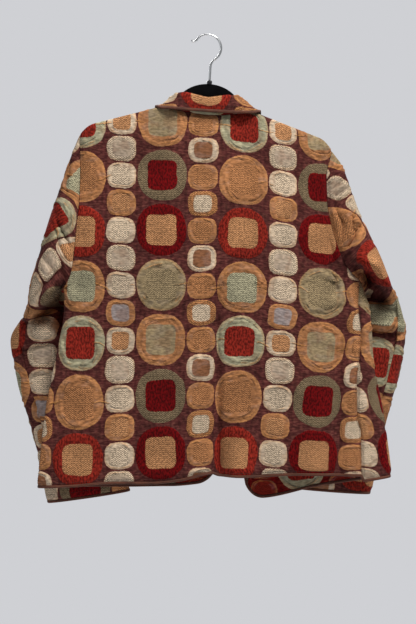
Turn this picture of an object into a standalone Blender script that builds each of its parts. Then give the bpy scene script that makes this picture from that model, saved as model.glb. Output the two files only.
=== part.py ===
"""Reversible tapestry jacket on a flat hanger, made up from its cut and sewn pieces.

Metres, +Z up. The origin lies inside the crown of the hook, where the hanger hangs. The back
of the jacket faces -Y, so +X is the wearer's right.
"""

import math

import bpy
import numpy as np

# Cloth and seams
CLOTH_WALL = 0.002
SEAM_GAP = 0.0003
HEAD_GAP = 0.0004
BINDING_RADIUS = 0.0016
BINDING_SIDES = 6
BINDING_END_TRIM = 0.0025
BINDING_CORNER_OUT = 0.3
BINDING_EDGE_DOWN = 0.2

# Hanger: it leans on its hook, and its middle lies to one side of the hook's crown
LEAN = math.radians(3.6)
HANGER_CENTRE = 0.008
CROWN_TOP = -0.0786
CROWN_HALF_WIDTH = 0.055
CROWN_RISE = 0.045
CROWN_RUN = 0.052
ARM_STARTS = 0.060
ARM_ENDS = 0.162
JUNCTION_SLACK = 0.0012
JUNCTION_AT = 0.085
JUNCTION_OVER = 0.020
ARM_HALF_HEIGHT = 0.007
CROWN_HALF_HEIGHT = 0.012
CROWN_FADES = 0.075
TIP_MIDDLE = 0.166
TIP_RADIUS = 0.010
TIP_FILL = 0.98
TIP_HALF_HEIGHT = 0.0065
TIP_FROM_ANGLE = 60.0
TIP_TO_ANGLE = -75.0
BAR_HEIGHT = -0.196
BAR_HALF_HEIGHT = 0.005
BAR_STOPS = (0.160, 0.120, 0.080, 0.040, 0.0)
HANGER_HALF_THICKNESS = 0.0025
HANGER_CHAMFER = 0.0028
HANGER_EDGE_SHARE = 0.45
NECK_RADIUS = 0.0042
NECK_HEIGHT_OF_FERRULE = 0.0052
FERRULE_SHOULDER = 0.7
FERRULE_TOP_SHARE = 0.75
NECK_SIDES = 14

# Hook wire
WIRE_RADIUS = 0.0018
WIRE_SIDES = 8
HOOK_RADIUS = 0.0222
HOOK_TIP_ANGLE = 150.0
HOOK_FOOT_ANGLE = -58.0
HOOK_STEPS = 22
# Steps out from the end of the hook's arc: the curl of its tip, and the shank down to the ferrule
HOOK_CURL = ((-0.0068, 0.0005), (-0.0050, -0.0018), (-0.0022, -0.0018))
SHANK_DROP = 0.0045
SHANK_BEND = ((0.0014, 0.0), (0.0002, -0.004), (0.0, -0.008))

# Shoulders, in the hanger's own leaning frame
NECK_HALF = 0.064
NECK_POINT_HEIGHT = -0.1158
SHOULDER_SLOPE = 0.325
TIP_STARTS = 0.184
TIP_CURVE = 30.0
TIP_HALF = 0.2056
BACK_NECK_DIP = 0.0145
FRONT_NECK_POWER = 0.8

# Body ring
FULLNESS = 0.75
SWELL_DROP = 0.26
SWELL_POWER = 0.7
ARCH_DROP = 0.007
ARCH_WIDTH = 0.0045
ARCH_FADE = 0.10
SIDE_SEAM_RIGHT = 0.2475
UNDERARM_LEFT = -0.411
UNDERARM_RIGHT = -0.400
FRONT_SCOOP = 0.008
FOLD_FADE = 0.3
BODY_MIDDLE = -0.45

# Heights that the search for the top and lower edges starts from, and its rounds
NEAR_TOP = -0.15
NEAR_HEM = -0.72
SETTLING_ROUNDS = 6

# Front edges
FRONT_TOP_DROP = 0.072
FRONT_TOP_INSET = 0.030
FRONT_MIDDLE = -0.42
FRONT_CORNER = 0.030

# How finely the pieces are divided
ARMHOLE_ROWS = 10
SIDE_ROWS = 11
SHOULDER_COLUMNS = 6
BACK_NECK_COLUMNS = 10
FRONT_NECK_COLUMNS = 6
SLEEVE_ROWS = 20
SEAM_TURN = math.radians(45)
SEAM_TURNS_FROM = 2.0
SEAM_TURNS_OVER = 4.0
UNDERARM_POINTS = 3


def table(names, *rows):
    """Columns of a table by name."""
    return dict(zip(names.split(), np.array(rows, float).T))


# Flattened body ring: drop below the origin, edges, and how far back and fronts stand off
BODY = table(
    "drop left right back front",
    (0.160, -0.228, 0.222, 0.030, 0.026),
    (0.260, -0.238, 0.228, 0.033, 0.028),
    (0.340, -0.240, 0.238, 0.035, 0.030),
    (0.400, -0.235, 0.2475, 0.035, 0.030),
    (0.420, -0.233, 0.2540, 0.035, 0.030),
    (0.450, -0.234, 0.2635, 0.035, 0.029),
    (0.520, -0.246, 0.267, 0.036, 0.028),
    (0.620, -0.264, 0.285, 0.036, 0.027),
    (0.740, -0.277, 0.301, 0.035, 0.026),
)

# Armhole seams, from shoulder tip to underarm
ARMHOLE = table(
    "share left right",
    (0.00, -0.2083, 0.2021),
    (0.20, -0.2065, 0.1930),
    (0.40, -0.2075, 0.1940),
    (0.60, -0.2123, 0.2020),
    (0.80, -0.2170, 0.2160),
    (0.92, -0.2225, 0.2300),
    (1.00, -0.2345, 0.2475),
)

# Soft lengthwise folds of the body; a positive depth is a hollow
BODY_FOLDS = table(
    "side x_top x_foot z_top z_foot width depth",
    (-1, 0.0130, 0.0170, -0.400, -0.720, 0.019, 0.018),
    (-1, -0.0220, -0.0200, -0.420, -0.720, 0.026, -0.005),
    (-1, 0.2130, 0.2080, -0.330, -0.560, 0.016, 0.010),
    (-1, 0.1000, 0.1150, -0.480, -0.720, 0.045, 0.007),
    (-1, -0.1150, -0.1250, -0.480, -0.720, 0.050, 0.006),
    (1, -0.1250, -0.1300, -0.300, -0.720, 0.040, 0.007),
    (1, 0.1300, 0.1450, -0.300, -0.720, 0.040, 0.007),
)

# Lower edges, from left to right
BACK_HEM = table(
    "x z",
    (-0.277, -0.7340),
    (-0.220, -0.7310),
    (-0.160, -0.7260),
    (-0.090, -0.7254),
    (-0.048, -0.7206),
    (0.007, -0.7095),
    (0.019, -0.7135),
    (0.053, -0.7149),
    (0.150, -0.7117),
    (0.250, -0.7140),
)
FRONT_LEFT_HEM = table(
    "x z",
    (-0.277, -0.7340),
    (-0.061, -0.7340),
    (0.012, -0.7270),
)
FRONT_RIGHT_HEM = table(
    "x z",
    (0.063, -0.7515),
    (0.083, -0.7535),
    (0.175, -0.7345),
    (0.301, -0.7160),
)
# Front edges: distance from the middle at the neck and at the hem
FRONT_FOOT = {-1: 0.0120, 1: 0.0630}

# Collar, from a front end to the centre back: heights of its fold and free edge against the
# neck points, the fold's lean towards the neck, how far the free edge lies outside the seam,
# and how far the fall sags between them
COLLAR = table(
    "share fold edge lean spread sag",
    (0.000, -0.0620, -0.0980, 0.001, 0.008, 0.000),
    (0.167, -0.0440, -0.0820, 0.001, 0.010, 0.000),
    (0.250, -0.0260, -0.0600, 0.002, 0.014, 0.000),
    (0.333, -0.0110, -0.0330, 0.003, 0.019, 0.001),
    (0.417, -0.0005, -0.0095, 0.004, 0.021, 0.001),
    (0.500, 0.0080, -0.0022, 0.005, 0.020, 0.002),
    (0.625, 0.0125, -0.0060, 0.006, 0.015, 0.002),
    (0.765, 0.0190, -0.0070, 0.003, 0.011, 0.001),
    (1.000, 0.0120, -0.0075, 0.001, 0.009, 0.000),
)
LIES_FLAT_FROM = 0.45
LIES_FLAT_OVER = 0.20
FOLD_RADIUS = 0.0040
FOLD_ANGLES = (178.0, 128.0, 76.0, 24.0)
STAND_BOW = 0.55
COLLAR_INSIDE = 0.4

# Sleeves: outer and inner edge of each ring, and its two half depths
SLEEVE_LEFT = table(
    "out_x out_y out_z in_x in_y in_z back front",
    (-0.2083, 0.000, -0.1640, -0.2345, 0.000, -0.4110, 0.016, 0.016),
    (-0.2245, 0.004, -0.2025, -0.2360, 0.002, -0.4126, 0.026, 0.030),
    (-0.2445, 0.009, -0.2625, -0.2372, 0.006, -0.4142, 0.033, 0.042),
    (-0.2700, 0.015, -0.3430, -0.2372, 0.013, -0.4165, 0.039, 0.050),
    (-0.2885, 0.022, -0.4014, -0.2330, 0.024, -0.4200, 0.042, 0.050),
    (-0.3010, 0.038, -0.4520, -0.2250, 0.040, -0.4310, 0.034, 0.044),
    (-0.3255, 0.055, -0.5000, -0.2140, 0.056, -0.4680, 0.034, 0.034),
    (-0.3145, 0.062, -0.5640, -0.1890, 0.062, -0.5450, 0.034, 0.032),
    (-0.2930, 0.062, -0.6400, -0.1610, 0.062, -0.6340, 0.029, 0.028),
    (-0.2665, 0.057, -0.7654, -0.1300, 0.057, -0.7454, 0.023, 0.023),
)
SLEEVE_RIGHT = table(
    "out_x out_y out_z in_x in_y in_z back front",
    (0.2021, 0.000, -0.1880, 0.2475, 0.000, -0.4000, 0.016, 0.016),
    (0.2195, 0.004, -0.2155, 0.2495, 0.002, -0.4012, 0.026, 0.030),
    (0.2450, 0.009, -0.2850, 0.2515, 0.006, -0.4026, 0.033, 0.042),
    (0.2775, 0.015, -0.3520, 0.2520, 0.014, -0.4045, 0.039, 0.050),
    (0.3045, 0.022, -0.4145, 0.2485, 0.025, -0.4085, 0.042, 0.050),
    (0.3195, 0.038, -0.4500, 0.2400, 0.041, -0.4200, 0.034, 0.044),
    (0.3280, 0.055, -0.4900, 0.2270, 0.058, -0.4570, 0.034, 0.034),
    (0.3160, 0.062, -0.5600, 0.1960, 0.064, -0.5430, 0.034, 0.032),
    (0.2950, 0.062, -0.6390, 0.1680, 0.062, -0.6370, 0.029, 0.028),
    (0.2710, 0.057, -0.7504, 0.1390, 0.057, -0.7404, 0.023, 0.023),
)
RING_FULLNESS = 0.85
HEAD_BLEND_ROWS = 2.5

# Tucks pressed into the sleeves: ring, turn round it, reach along and round, depth
SLEEVE_TUCKS = table(
    "side ring turn along round depth",
    (-1, 5.10, 100.0, 0.42, 55.0, 0.013),
    (-1, 6.60, 90.0, 0.35, 60.0, 0.006),
    (1, 4.95, 95.0, 0.42, 55.0, 0.015),
    (1, 6.25, 75.0, 0.25, 60.0, 0.007),
)

# Colour, roughness and metallic of each kind of piece
FINISH = {
    "cloth": ((0.130, 0.050, 0.040), 0.95, 0.0),
    "collar": ((0.120, 0.046, 0.038), 0.95, 0.0),
    "binding": ((0.070, 0.045, 0.025), 0.90, 0.0),
    "frame": ((0.012, 0.012, 0.013), 0.85, 0.0),
    "ferrule": ((0.020, 0.020, 0.022), 0.45, 0.0),
    "hook": ((0.780, 0.790, 0.800), 0.12, 1.0),
}


def curve(xs, ys, x):
    """A smooth curve through table points that never overshoots them."""
    x = np.clip(x, xs[0], xs[-1])
    steps = np.diff(xs)
    slopes = np.diff(ys) / steps
    turns = slopes[1:] * slopes[:-1]
    total = np.where(turns > 0, slopes[1:] + slopes[:-1], 1.0)
    tangents = np.concatenate(
        ([slopes[0]], np.where(turns > 0, 2 * turns / total, 0.0), [slopes[-1]])
    )
    i = np.clip(np.searchsorted(xs, x) - 1, 0, len(steps) - 1)
    t = (x - xs[i]) / steps[i]
    return (
        ys[i] * (1 + 2 * t) * (1 - t) ** 2
        + ys[i + 1] * t * t * (3 - 2 * t)
        + steps[i] * t * (1 - t) * (tangents[i] * (1 - t) - tangents[i + 1] * t)
    )


def ease(t):
    """Zero to one with flat ends."""
    t = np.clip(t, 0.0, 1.0)
    return t * t * (3 - 2 * t)


def quarter(t):
    """Rise of a quarter ellipse."""
    return np.sqrt(1 - (1 - np.clip(t, 0.0, 1.0)) ** 2)


def unit(vectors):
    return vectors / np.maximum(np.linalg.norm(vectors, axis=-1, keepdims=True), 1e-12)


def leaned(along, up):
    """World x and z of a place on the leaning hanger."""
    return (
        along * math.cos(LEAN) + up * math.sin(LEAN),
        up * math.cos(LEAN) - along * math.sin(LEAN),
    )


def ridge_up(along):
    """Height of the shoulder's ridge in the hanger's frame."""
    away = np.clip(np.abs(along - HANGER_CENTRE), NECK_HALF, TIP_HALF)
    past = np.maximum(away - TIP_STARTS, 0.0)
    return NECK_POINT_HEIGHT - SHOULDER_SLOPE * (away - NECK_HALF) - TIP_CURVE * past**2


def ridge_z(x):
    """World height of the shoulder's ridge above a world x."""
    along = x
    for _ in range(SETTLING_ROUNDS):
        along = (x - ridge_up(along) * math.sin(LEAN)) / math.cos(LEAN)
    return leaned(along, ridge_up(along))[1]


def edges(z):
    left = curve(BODY["drop"], BODY["left"], -z)
    right = curve(BODY["drop"], BODY["right"], -z)
    return left, right


def turn_of(x, z, side):
    """Quarter turns round the body ring for a place on the back (-1) or the fronts (1)."""
    left, right = edges(z)
    across = np.clip((2 * x - left - right) / (right - left), -1.0, 1.0)
    turn = np.arcsin(across) * 2 / math.pi
    return turn if side < 0 else 2 - turn


def fold_depth(x, z, facing):
    """How far the lengthwise folds press the cloth in."""
    pressed = np.zeros_like(x)
    for i in range(len(BODY_FOLDS["side"])):
        row = {name: column[i] for name, column in BODY_FOLDS.items()}
        t = (row["z_top"] - z) / (row["z_top"] - row["z_foot"])
        line = row["x_top"] + (row["x_foot"] - row["x_top"]) * np.clip(t, 0.0, 1.0)
        shape = np.exp(-(((x - line) / row["width"]) ** 2))
        pressed += row["depth"] * shape * ease(t) * (facing * row["side"] < 0)
    return pressed * np.minimum(np.abs(facing) / FOLD_FADE, 1.0)


def body_point(turn, z):
    """Outer surface of the body ring."""
    left, right = edges(z)
    facing = np.cos(turn * math.pi / 2)
    x = (left + right) / 2 + (right - left) / 2 * np.sin(turn * math.pi / 2)
    below = np.maximum(ridge_z(x) - z, 0.0)
    swell = np.sin(np.clip(below / SWELL_DROP, 0.0, 1.0) * math.pi / 2) ** SWELL_POWER
    arch = ARCH_WIDTH * quarter(below / ARCH_DROP) * (1 - ease(below / ARCH_FADE))
    back = curve(BODY["drop"], BODY["back"], -z)
    front = curve(BODY["drop"], BODY["front"], -z)
    stand = np.where(facing > 0, back, front) * swell * np.abs(facing) ** FULLNESS
    out = arch + stand - fold_depth(x, z, facing) * swell
    return np.stack((x, np.where(facing > 0, -out, out), z), axis=-1)


def spaced(count):
    """Shares of a run, close together at both ends."""
    return (1 - np.cos(np.linspace(0, math.pi, count + 1))) / 2


def armhole(side, front):
    """Turn and height down an armhole, a row per point."""
    share = spaced(ARMHOLE_ROWS)
    x = curve(ARMHOLE["share"], ARMHOLE["left" if side < 0 else "right"], share)
    tip = ridge_z(x[:1])[0]
    foot = UNDERARM_LEFT if side < 0 else UNDERARM_RIGHT
    z = tip + (foot - tip) * share
    if front:
        x = x - side * FRONT_SCOOP * np.sin(math.pi * share)
    return turn_of(x, z, 1 if front else -1), z


def side_seam(side, hem):
    """Turn and height down a side seam below the underarm."""
    foot = UNDERARM_LEFT if side < 0 else UNDERARM_RIGHT
    z = np.linspace(foot, hem, SIDE_ROWS + 1)[1:]
    if side < 0:
        return np.full_like(z, -1.0), z
    return turn_of(np.full_like(z, SIDE_SEAM_RIGHT), z, -1), z


def front_edge(side, hem):
    """Turn and height down a front's free edge."""
    top_x, top_z = leaned(
        HANGER_CENTRE + side * FRONT_TOP_INSET, NECK_POINT_HEIGHT - FRONT_TOP_DROP
    )
    z = np.concatenate(
        (
            top_z + (FRONT_MIDDLE - top_z) * spaced(ARMHOLE_ROWS),
            np.linspace(FRONT_MIDDLE, hem + FRONT_CORNER, SIDE_ROWS + 1)[1:],
        )
    )
    x = top_x + (FRONT_FOOT[side] - top_x) * (top_z - z) / (top_z - z[-1])
    return turn_of(x, z, 1), z


def neck_point(side):
    x, z = leaned(HANGER_CENTRE + side * NECK_HALF, NECK_POINT_HEIGHT)
    return np.array(x), np.array(z)


def settle(turn, z, height_at):
    """Heights that agree with the x they give on the ring."""
    for _ in range(SETTLING_ROUNDS):
        z = height_at(body_point(turn, z)[..., 0])
    return z


def spread_rows(near, far, shares, top, hem):
    """Grid of points between two boundaries that carries the shape of the top and the hem."""
    (near_turn, near_z), (far_turn, far_z) = near, far
    turn = near_turn[:, None] * (1 - shares) + far_turn[:, None] * shares
    line = near_z[:, None] * (1 - shares) + far_z[:, None] * shares
    waist = near_z[ARMHOLE_ROWS]
    above = np.clip((near_z - waist) / (near_z[0] - waist), 0.0, 1.0)[:, None]
    below = np.clip((near_z - waist) / (near_z[-1] - waist), 0.0, 1.0)[:, None]
    return body_point(turn, line + above * (top - line[0]) + below * (hem - line[-1]))


def joined(upper, lower):
    return tuple(np.concatenate(pair) for pair in zip(upper, lower))


def back_grid():
    left = joined(armhole(-1, False), side_seam(-1, BACK_HEM["z"][0]))
    right = joined(armhole(1, False), side_seam(1, BACK_HEM["z"][-1]))
    (left_x, left_z), (right_x, right_z) = neck_point(-1), neck_point(1)
    stops = (
        left[0][0],
        float(turn_of(left_x, left_z, -1)),
        float(turn_of(right_x, right_z, -1)),
        right[0][0],
    )
    turn = np.concatenate(
        (
            np.linspace(stops[0], stops[1], SHOULDER_COLUMNS + 1)[:-1],
            stops[1] + (stops[2] - stops[1]) * spaced(BACK_NECK_COLUMNS),
            np.linspace(stops[2], stops[3], SHOULDER_COLUMNS + 1)[1:],
        )
    )
    shares = (turn - turn[0]) / (turn[-1] - turn[0])

    def top_at(x):
        t = np.clip((x - left_x) / (right_x - left_x), 0.0, 1.0)
        within = (t > 0) & (t < 1)
        dip = BACK_NECK_DIP * np.sqrt(np.sin(math.pi * t))
        neckline = left_z + (right_z - left_z) * t - dip
        return np.where(within, neckline, ridge_z(x))

    top = settle(turn, ridge_z(body_point(turn, np.full_like(turn, NEAR_TOP))[:, 0]), top_at)
    low = left[0][-1] + (right[0][-1] - left[0][-1]) * shares
    hem = settle(
        low,
        np.full_like(low, NEAR_HEM),
        lambda x: curve(BACK_HEM["x"], BACK_HEM["z"], x),
    )
    return spread_rows(left, right, shares, top, hem)


def front_grid(side):
    hems = FRONT_LEFT_HEM if side < 0 else FRONT_RIGHT_HEM
    seam = side_seam(side, BACK_HEM["z"][0 if side < 0 else -1])
    if side < 0:
        seam = (seam[0] + 4.0, seam[1])
    near = joined(armhole(side, True), seam)
    foot_z = float(curve(hems["x"], hems["z"], np.array(FRONT_FOOT[side])))
    far = front_edge(side, foot_z)
    neck_x, neck_z = neck_point(side)
    neck_turn = float(turn_of(neck_x, neck_z, 1))
    turn = np.concatenate(
        (
            np.linspace(near[0][0], neck_turn, SHOULDER_COLUMNS + 1)[:-1],
            neck_turn + (far[0][0] - neck_turn) * spaced(FRONT_NECK_COLUMNS),
        )
    )
    shares = (turn - turn[0]) / (turn[-1] - turn[0])
    along_neck = np.clip((turn - neck_turn) / (far[0][0] - neck_turn), 0.0, 1.0)
    neckline = neck_z + (far[1][0] - neck_z) * along_neck**FRONT_NECK_POWER
    shoulder = settle(turn, np.full_like(turn, NEAR_TOP), ridge_z)
    top = np.where(along_neck > 0, neckline, shoulder)
    low = near[0][-1] + (far[0][-1] - near[0][-1]) * shares

    def hem_at(x):
        away = np.clip(np.abs(x - FRONT_FOOT[side]) / FRONT_CORNER, 0.0, 1.0)
        rounded = FRONT_CORNER * (1 - quarter(away))
        return curve(hems["x"], hems["z"], x) + rounded

    hem = settle(low, np.full_like(low, NEAR_HEM), hem_at)
    hem[-1] = far[1][-1]
    hem[0] = near[1][-1]
    return spread_rows(near, far, shares, top, hem)


def grid_normals(points, inside, wraps=False):
    """Unit normals of a grid, each the mean of the faces round it, turned towards the inside."""
    if wraps:
        points = np.concatenate((points, points[:, :1]), axis=1)
    diagonal = points[1:, 1:] - points[:-1, :-1]
    other = points[1:, :-1] - points[:-1, 1:]
    faces = unit(np.cross(diagonal, other))
    if wraps:
        faces = np.concatenate((faces[:, -1:], faces), axis=1)
    else:
        faces = np.concatenate((faces[:, :1], faces, faces[:, -1:]), axis=1)
    faces = np.concatenate((faces[:1], faces, faces[-1:]), axis=0)
    normals = faces[1:, 1:] + faces[:-1, 1:] + faces[1:, :-1] + faces[:-1, :-1]
    towards = (normals * (inside - points[:, : normals.shape[1]])).sum()
    return unit(normals) * np.sign(towards)


def slide(line, neighbour, distance):
    """A seam line moved towards its neighbour."""
    return line + unit(neighbour - line) * distance


def wall_mesh(outer, inner):
    """Vertices and faces of a closed cloth wall between two grids."""
    rows, columns = outer.shape[:2]
    count = rows * columns
    index = np.arange(count).reshape(rows, columns)
    faces = []
    for i in range(rows - 1):
        for j in range(columns - 1):
            a, b = index[i, j], index[i, j + 1]
            c, d = index[i + 1, j + 1], index[i + 1, j]
            faces.append((a, b, c, d))
            faces.append((a + count, d + count, c + count, b + count))
    rim = (
        list(index[0, :-1])
        + list(index[:-1, -1])
        + list(index[-1, :0:-1])
        + list(index[:0:-1, 0])
    )
    for a, b in zip(rim, rim[1:] + rim[:1]):
        if a < b:
            faces += [(b, a, b + count), (a, a + count, b + count)]
        else:
            faces += [(b, a, a + count), (b, a + count, b + count)]
    return np.concatenate((outer.reshape(-1, 3), inner.reshape(-1, 3))), faces


def sweep_mesh(rings, closed):
    """Vertices and faces of a rod through rings of points."""
    count, sides = rings.shape[:2]
    faces = []
    for i in range(count if closed else count - 1):
        k = (i + 1) % count
        for j in range(sides):
            m = (j + 1) % sides
            faces.append((i * sides + j, i * sides + m, k * sides + m, k * sides + j))
    if not closed:
        faces.append(tuple(range(sides))[::-1])
        faces.append(tuple(range((count - 1) * sides, count * sides)))
    return rings.reshape(-1, 3), faces


def signed_volume(points, faces):
    total = 0.0
    for face in faces:
        for k in range(1, len(face) - 1):
            total += np.dot(points[face[0]], np.cross(points[face[k]], points[face[k + 1]]))
    return total


def add_piece(name, points, faces, finish):
    """One named object with its own material, faces turned outwards."""
    if signed_volume(points, faces) < 0:
        faces = [face[::-1] for face in faces]
    mesh = bpy.data.meshes.new(name)
    mesh.from_pydata(points.tolist(), [], [tuple(int(i) for i in face) for face in faces])
    material = bpy.data.materials.new(name)
    material.use_nodes = True
    shader = material.node_tree.nodes["Principled BSDF"]
    colour, roughness, metallic = FINISH[finish]
    shader.inputs["Base Color"].default_value = (*colour, 1.0)
    shader.inputs["Roughness"].default_value = roughness
    shader.inputs["Metallic"].default_value = metallic
    mesh.materials.append(material)
    piece = bpy.data.objects.new(name, mesh)
    bpy.context.scene.collection.objects.link(piece)
    return piece


def tangents_of(path, closed):
    if closed:
        return unit(np.roll(path, -1, axis=0) - np.roll(path, 1, axis=0))
    return unit(np.gradient(path, axis=0))


def binding_rings(outer, inner, outward, closed=False):
    """Rings of a round edge binding just beyond the edge of a wall."""
    middle = (outer + inner) / 2
    through = unit(inner - outer)
    tangent = tangents_of(middle, closed)
    away = unit(np.cross(tangent, through))
    away *= np.sign((away * outward).sum(axis=-1, keepdims=True))
    centre = middle + away * (BINDING_RADIUS + SEAM_GAP)
    if not closed:
        centre[0] = slide(centre[0], centre[1], BINDING_END_TRIM)
        centre[-1] = slide(centre[-1], centre[-2], BINDING_END_TRIM)
    angle = np.arange(BINDING_SIDES) * 2 * math.pi / BINDING_SIDES
    ring = away[:, None] * np.cos(angle)[:, None] + through[:, None] * np.sin(angle)[:, None]
    return centre[:, None] + BINDING_RADIUS * ring


def add_body():
    """Back, fronts and their bindings; returns what the sleeves and collar join on to."""
    grids = {"back": back_grid(), "front_left": front_grid(-1), "front_right": front_grid(1)}
    normals = {
        name: grid_normals(grid, np.array([0.0, 0.0, BODY_MIDDLE]) + grid * [1.0, 0.0, 0.0])
        for name, grid in grids.items()
    }
    loops = {
        side: np.concatenate(
            (
                grids["back"][: ARMHOLE_ROWS + 1, 0 if side < 0 else -1],
                grids["front_left" if side < 0 else "front_right"][ARMHOLE_ROWS - 1 : 0 : -1, 0],
            )
        )
        for side in (-1, 1)
    }
    shoulders = {
        "back": list(range(SHOULDER_COLUMNS + 1)) + list(range(-SHOULDER_COLUMNS - 1, 0)),
        "front_left": list(range(SHOULDER_COLUMNS + 1)),
        "front_right": list(range(SHOULDER_COLUMNS + 1)),
    }
    for name, columns in shoulders.items():
        sign = -1 if name == "back" else 1
        grids[name][0, columns, 1] = sign * SEAM_GAP / 2
        normals[name][0, columns, 1] = 0.0
    for name, sign in (("back", -1), ("front_left", 1)):
        grids[name][ARMHOLE_ROWS:, 0, 1] = sign * SEAM_GAP / 2
        normals[name][ARMHOLE_ROWS:, 0, 1] = 0.0
    shared = normals["back"][ARMHOLE_ROWS:, -1] + normals["front_right"][ARMHOLE_ROWS:, 0]
    normals["back"][ARMHOLE_ROWS:, -1] = shared
    normals["front_right"][ARMHOLE_ROWS:, 0] = shared
    for name, here, there in (("back", -1, -2), ("front_right", 0, 1)):
        grid = grids[name]
        grid[ARMHOLE_ROWS:, here] = slide(
            grid[ARMHOLE_ROWS:, here], grid[ARMHOLE_ROWS:, there], SEAM_GAP / 2
        )
    inners = {name: grid + unit(normals[name]) * CLOTH_WALL for name, grid in grids.items()}
    for name, grid in grids.items():
        add_piece(name, *wall_mesh(grid, inners[name]), "cloth")
    back, inner = grids["back"], inners["back"]
    down = np.array([0.0, 0.0, -1.0])
    rings = binding_rings(back[-1], inner[-1], np.tile(down, (back.shape[1], 1)))
    add_piece("binding_back", *sweep_mesh(rings, False), "binding")
    for side, name in ((-1, "front_left"), (1, "front_right")):
        grid, inner = grids[name], inners[name]
        outer_line = np.concatenate((grid[-1], grid[-2::-1, -1]))
        inner_line = np.concatenate((inner[-1], inner[-2::-1, -1]))
        outward = np.concatenate(
            (
                np.tile(down + [-BINDING_CORNER_OUT * side, 0.0, 0.0], (grid.shape[1], 1)),
                np.tile([-side, 0.0, -BINDING_EDGE_DOWN], (grid.shape[0] - 1, 1)),
            )
        )
        rings = binding_rings(outer_line, inner_line, outward)
        add_piece("binding_" + name, *sweep_mesh(rings, False), "binding")
    neck = np.concatenate(
        (
            grids["front_left"][0, :SHOULDER_COLUMNS:-1],
            grids["back"][0, SHOULDER_COLUMNS : -SHOULDER_COLUMNS],
            grids["front_right"][0, SHOULDER_COLUMNS + 1 :],
        )
    )
    return loops, neck


def add_collar(neck):
    """Turned-down collar swept along the neckline, stand and fall in one."""
    half = len(neck) // 2
    front = 0.5 * np.arange(FRONT_NECK_COLUMNS) / FRONT_NECK_COLUMNS
    back = 0.5 + np.arange(BACK_NECK_COLUMNS // 2 + 1) / BACK_NECK_COLUMNS
    share = np.concatenate((front, back))
    share = np.concatenate((share, share[-2::-1]))
    fold, edge, lean, spread, sag = (
        curve(COLLAR["share"], column, share) for column in list(COLLAR.values())[1:]
    )
    level = NECK_POINT_HEIGHT * math.cos(LEAN) - (neck[:, 0] - neck[half, 0]) * math.tan(LEAN)
    level = level - HANGER_CENTRE * math.sin(LEAN)
    rise = level + fold - neck[:, 2]
    drop = neck[:, 2] - level - edge
    plan = tangents_of(neck * [1.0, 1.0, 0.0], False)
    outward = np.stack((plan[:, 1], -plan[:, 0], np.zeros(len(plan))), axis=-1)
    outward *= np.sign(-outward[half, 1])
    along = tangents_of(neck, False)
    lies_flat = ease((LIES_FLAT_FROM - share) / LIES_FLAT_OVER)[:, None]
    up = np.array([0.0, 0.0, 1.0])
    up = unit(up - along * along[:, 2:] * lies_flat)
    outward = unit(outward - up * (up * outward).sum(axis=-1, keepdims=True))
    base = neck + [0.0, 0.0, 2 * SEAM_GAP]
    inset = -CLOTH_WALL / 2
    middle_out = inset - lean + FOLD_RADIUS
    middle_up = rise - FOLD_RADIUS
    profile = [(inset + 0 * lean, 0 * rise), (inset - STAND_BOW * lean, middle_up / 2)]
    for angle in FOLD_ANGLES:
        turn = math.radians(angle)
        out = middle_out + FOLD_RADIUS * math.cos(turn)
        profile.append((out, middle_up + FOLD_RADIUS * math.sin(turn)))
    out, high = profile[-1]
    profile.append(((out + spread) / 2, (high - drop) / 2 - sag))
    profile.append((spread, -drop))
    outer = np.stack(
        [base + outward * out[:, None] + up * high[:, None] for out, high in profile], axis=1
    )
    inside = base + outward * middle_out[:, None] + up * (COLLAR_INSIDE * rise)[:, None]
    normals = grid_normals(outer, inside[:, None])
    inner = outer + normals * CLOTH_WALL
    add_piece("collar", *wall_mesh(outer, inner), "collar")
    rings = binding_rings(outer[:, -1], inner[:, -1], outer[:, -1] - outer[:, -2])
    add_piece("binding_collar", *sweep_mesh(rings, False), "binding")


def tuck_depth(side, ring, turn):
    pressed = np.zeros(np.broadcast(ring, turn).shape)
    for i in range(len(SLEEVE_TUCKS["side"])):
        row = {name: column[i] for name, column in SLEEVE_TUCKS.items()}
        off = (turn - math.radians(row["turn"])) / math.radians(row["round"])
        shape = np.exp(-(((ring - row["ring"]) / row["along"]) ** 2) - off**2)
        pressed = pressed + row["depth"] * shape * (row["side"] == side)
    return pressed


def sleeve_grid(side, loop):
    """Rings of a sleeve from the armhole to the cuff, starting at the over-arm seam."""
    rows = SLEEVE_LEFT if side < 0 else SLEEVE_RIGHT
    last = len(rows["back"]) - 1
    ring = np.linspace(0, last, SLEEVE_ROWS + 1)
    at = {name: curve(np.arange(last + 1.0), column, ring)[:, None] for name, column in rows.items()}
    points = len(loop)
    seam = SEAM_TURN * ease((ring - SEAM_TURNS_FROM) / SEAM_TURNS_OVER)[:, None]
    k = np.arange(points)[None, :]
    half = points // 2
    turn = np.where(
        k <= half,
        seam + (math.pi - seam) * k / half,
        math.pi + (math.pi + seam) * (k - half) / half,
    )
    depth = np.where(np.sin(turn) > 0, at["back"], at["front"])
    swing = np.sign(np.sin(turn)) * np.abs(np.sin(turn)) ** RING_FULLNESS
    pressed = tuck_depth(side, ring[:, None], turn)
    inner = (1 - np.cos(turn)) / 2
    grid = np.stack(
        [at["out_" + axis] + (at["in_" + axis] - at["out_" + axis]) * inner for axis in "xyz"],
        axis=-1,
    )
    grid[..., 1] += pressed - depth * swing
    near_underarm = np.clip(1 - np.abs(k[0] - half) / UNDERARM_POINTS, 0.0, 1.0)
    head = loop + np.outer(np.ones(points), [side * HEAD_GAP, 0.0, 0.0])
    head[:, 2] += HEAD_GAP * near_underarm
    fade = np.clip(1 - ring / HEAD_BLEND_ROWS, 0.0, 1.0) ** 2
    return grid + (head - grid[0])[None] * fade[:, None, None]


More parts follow.
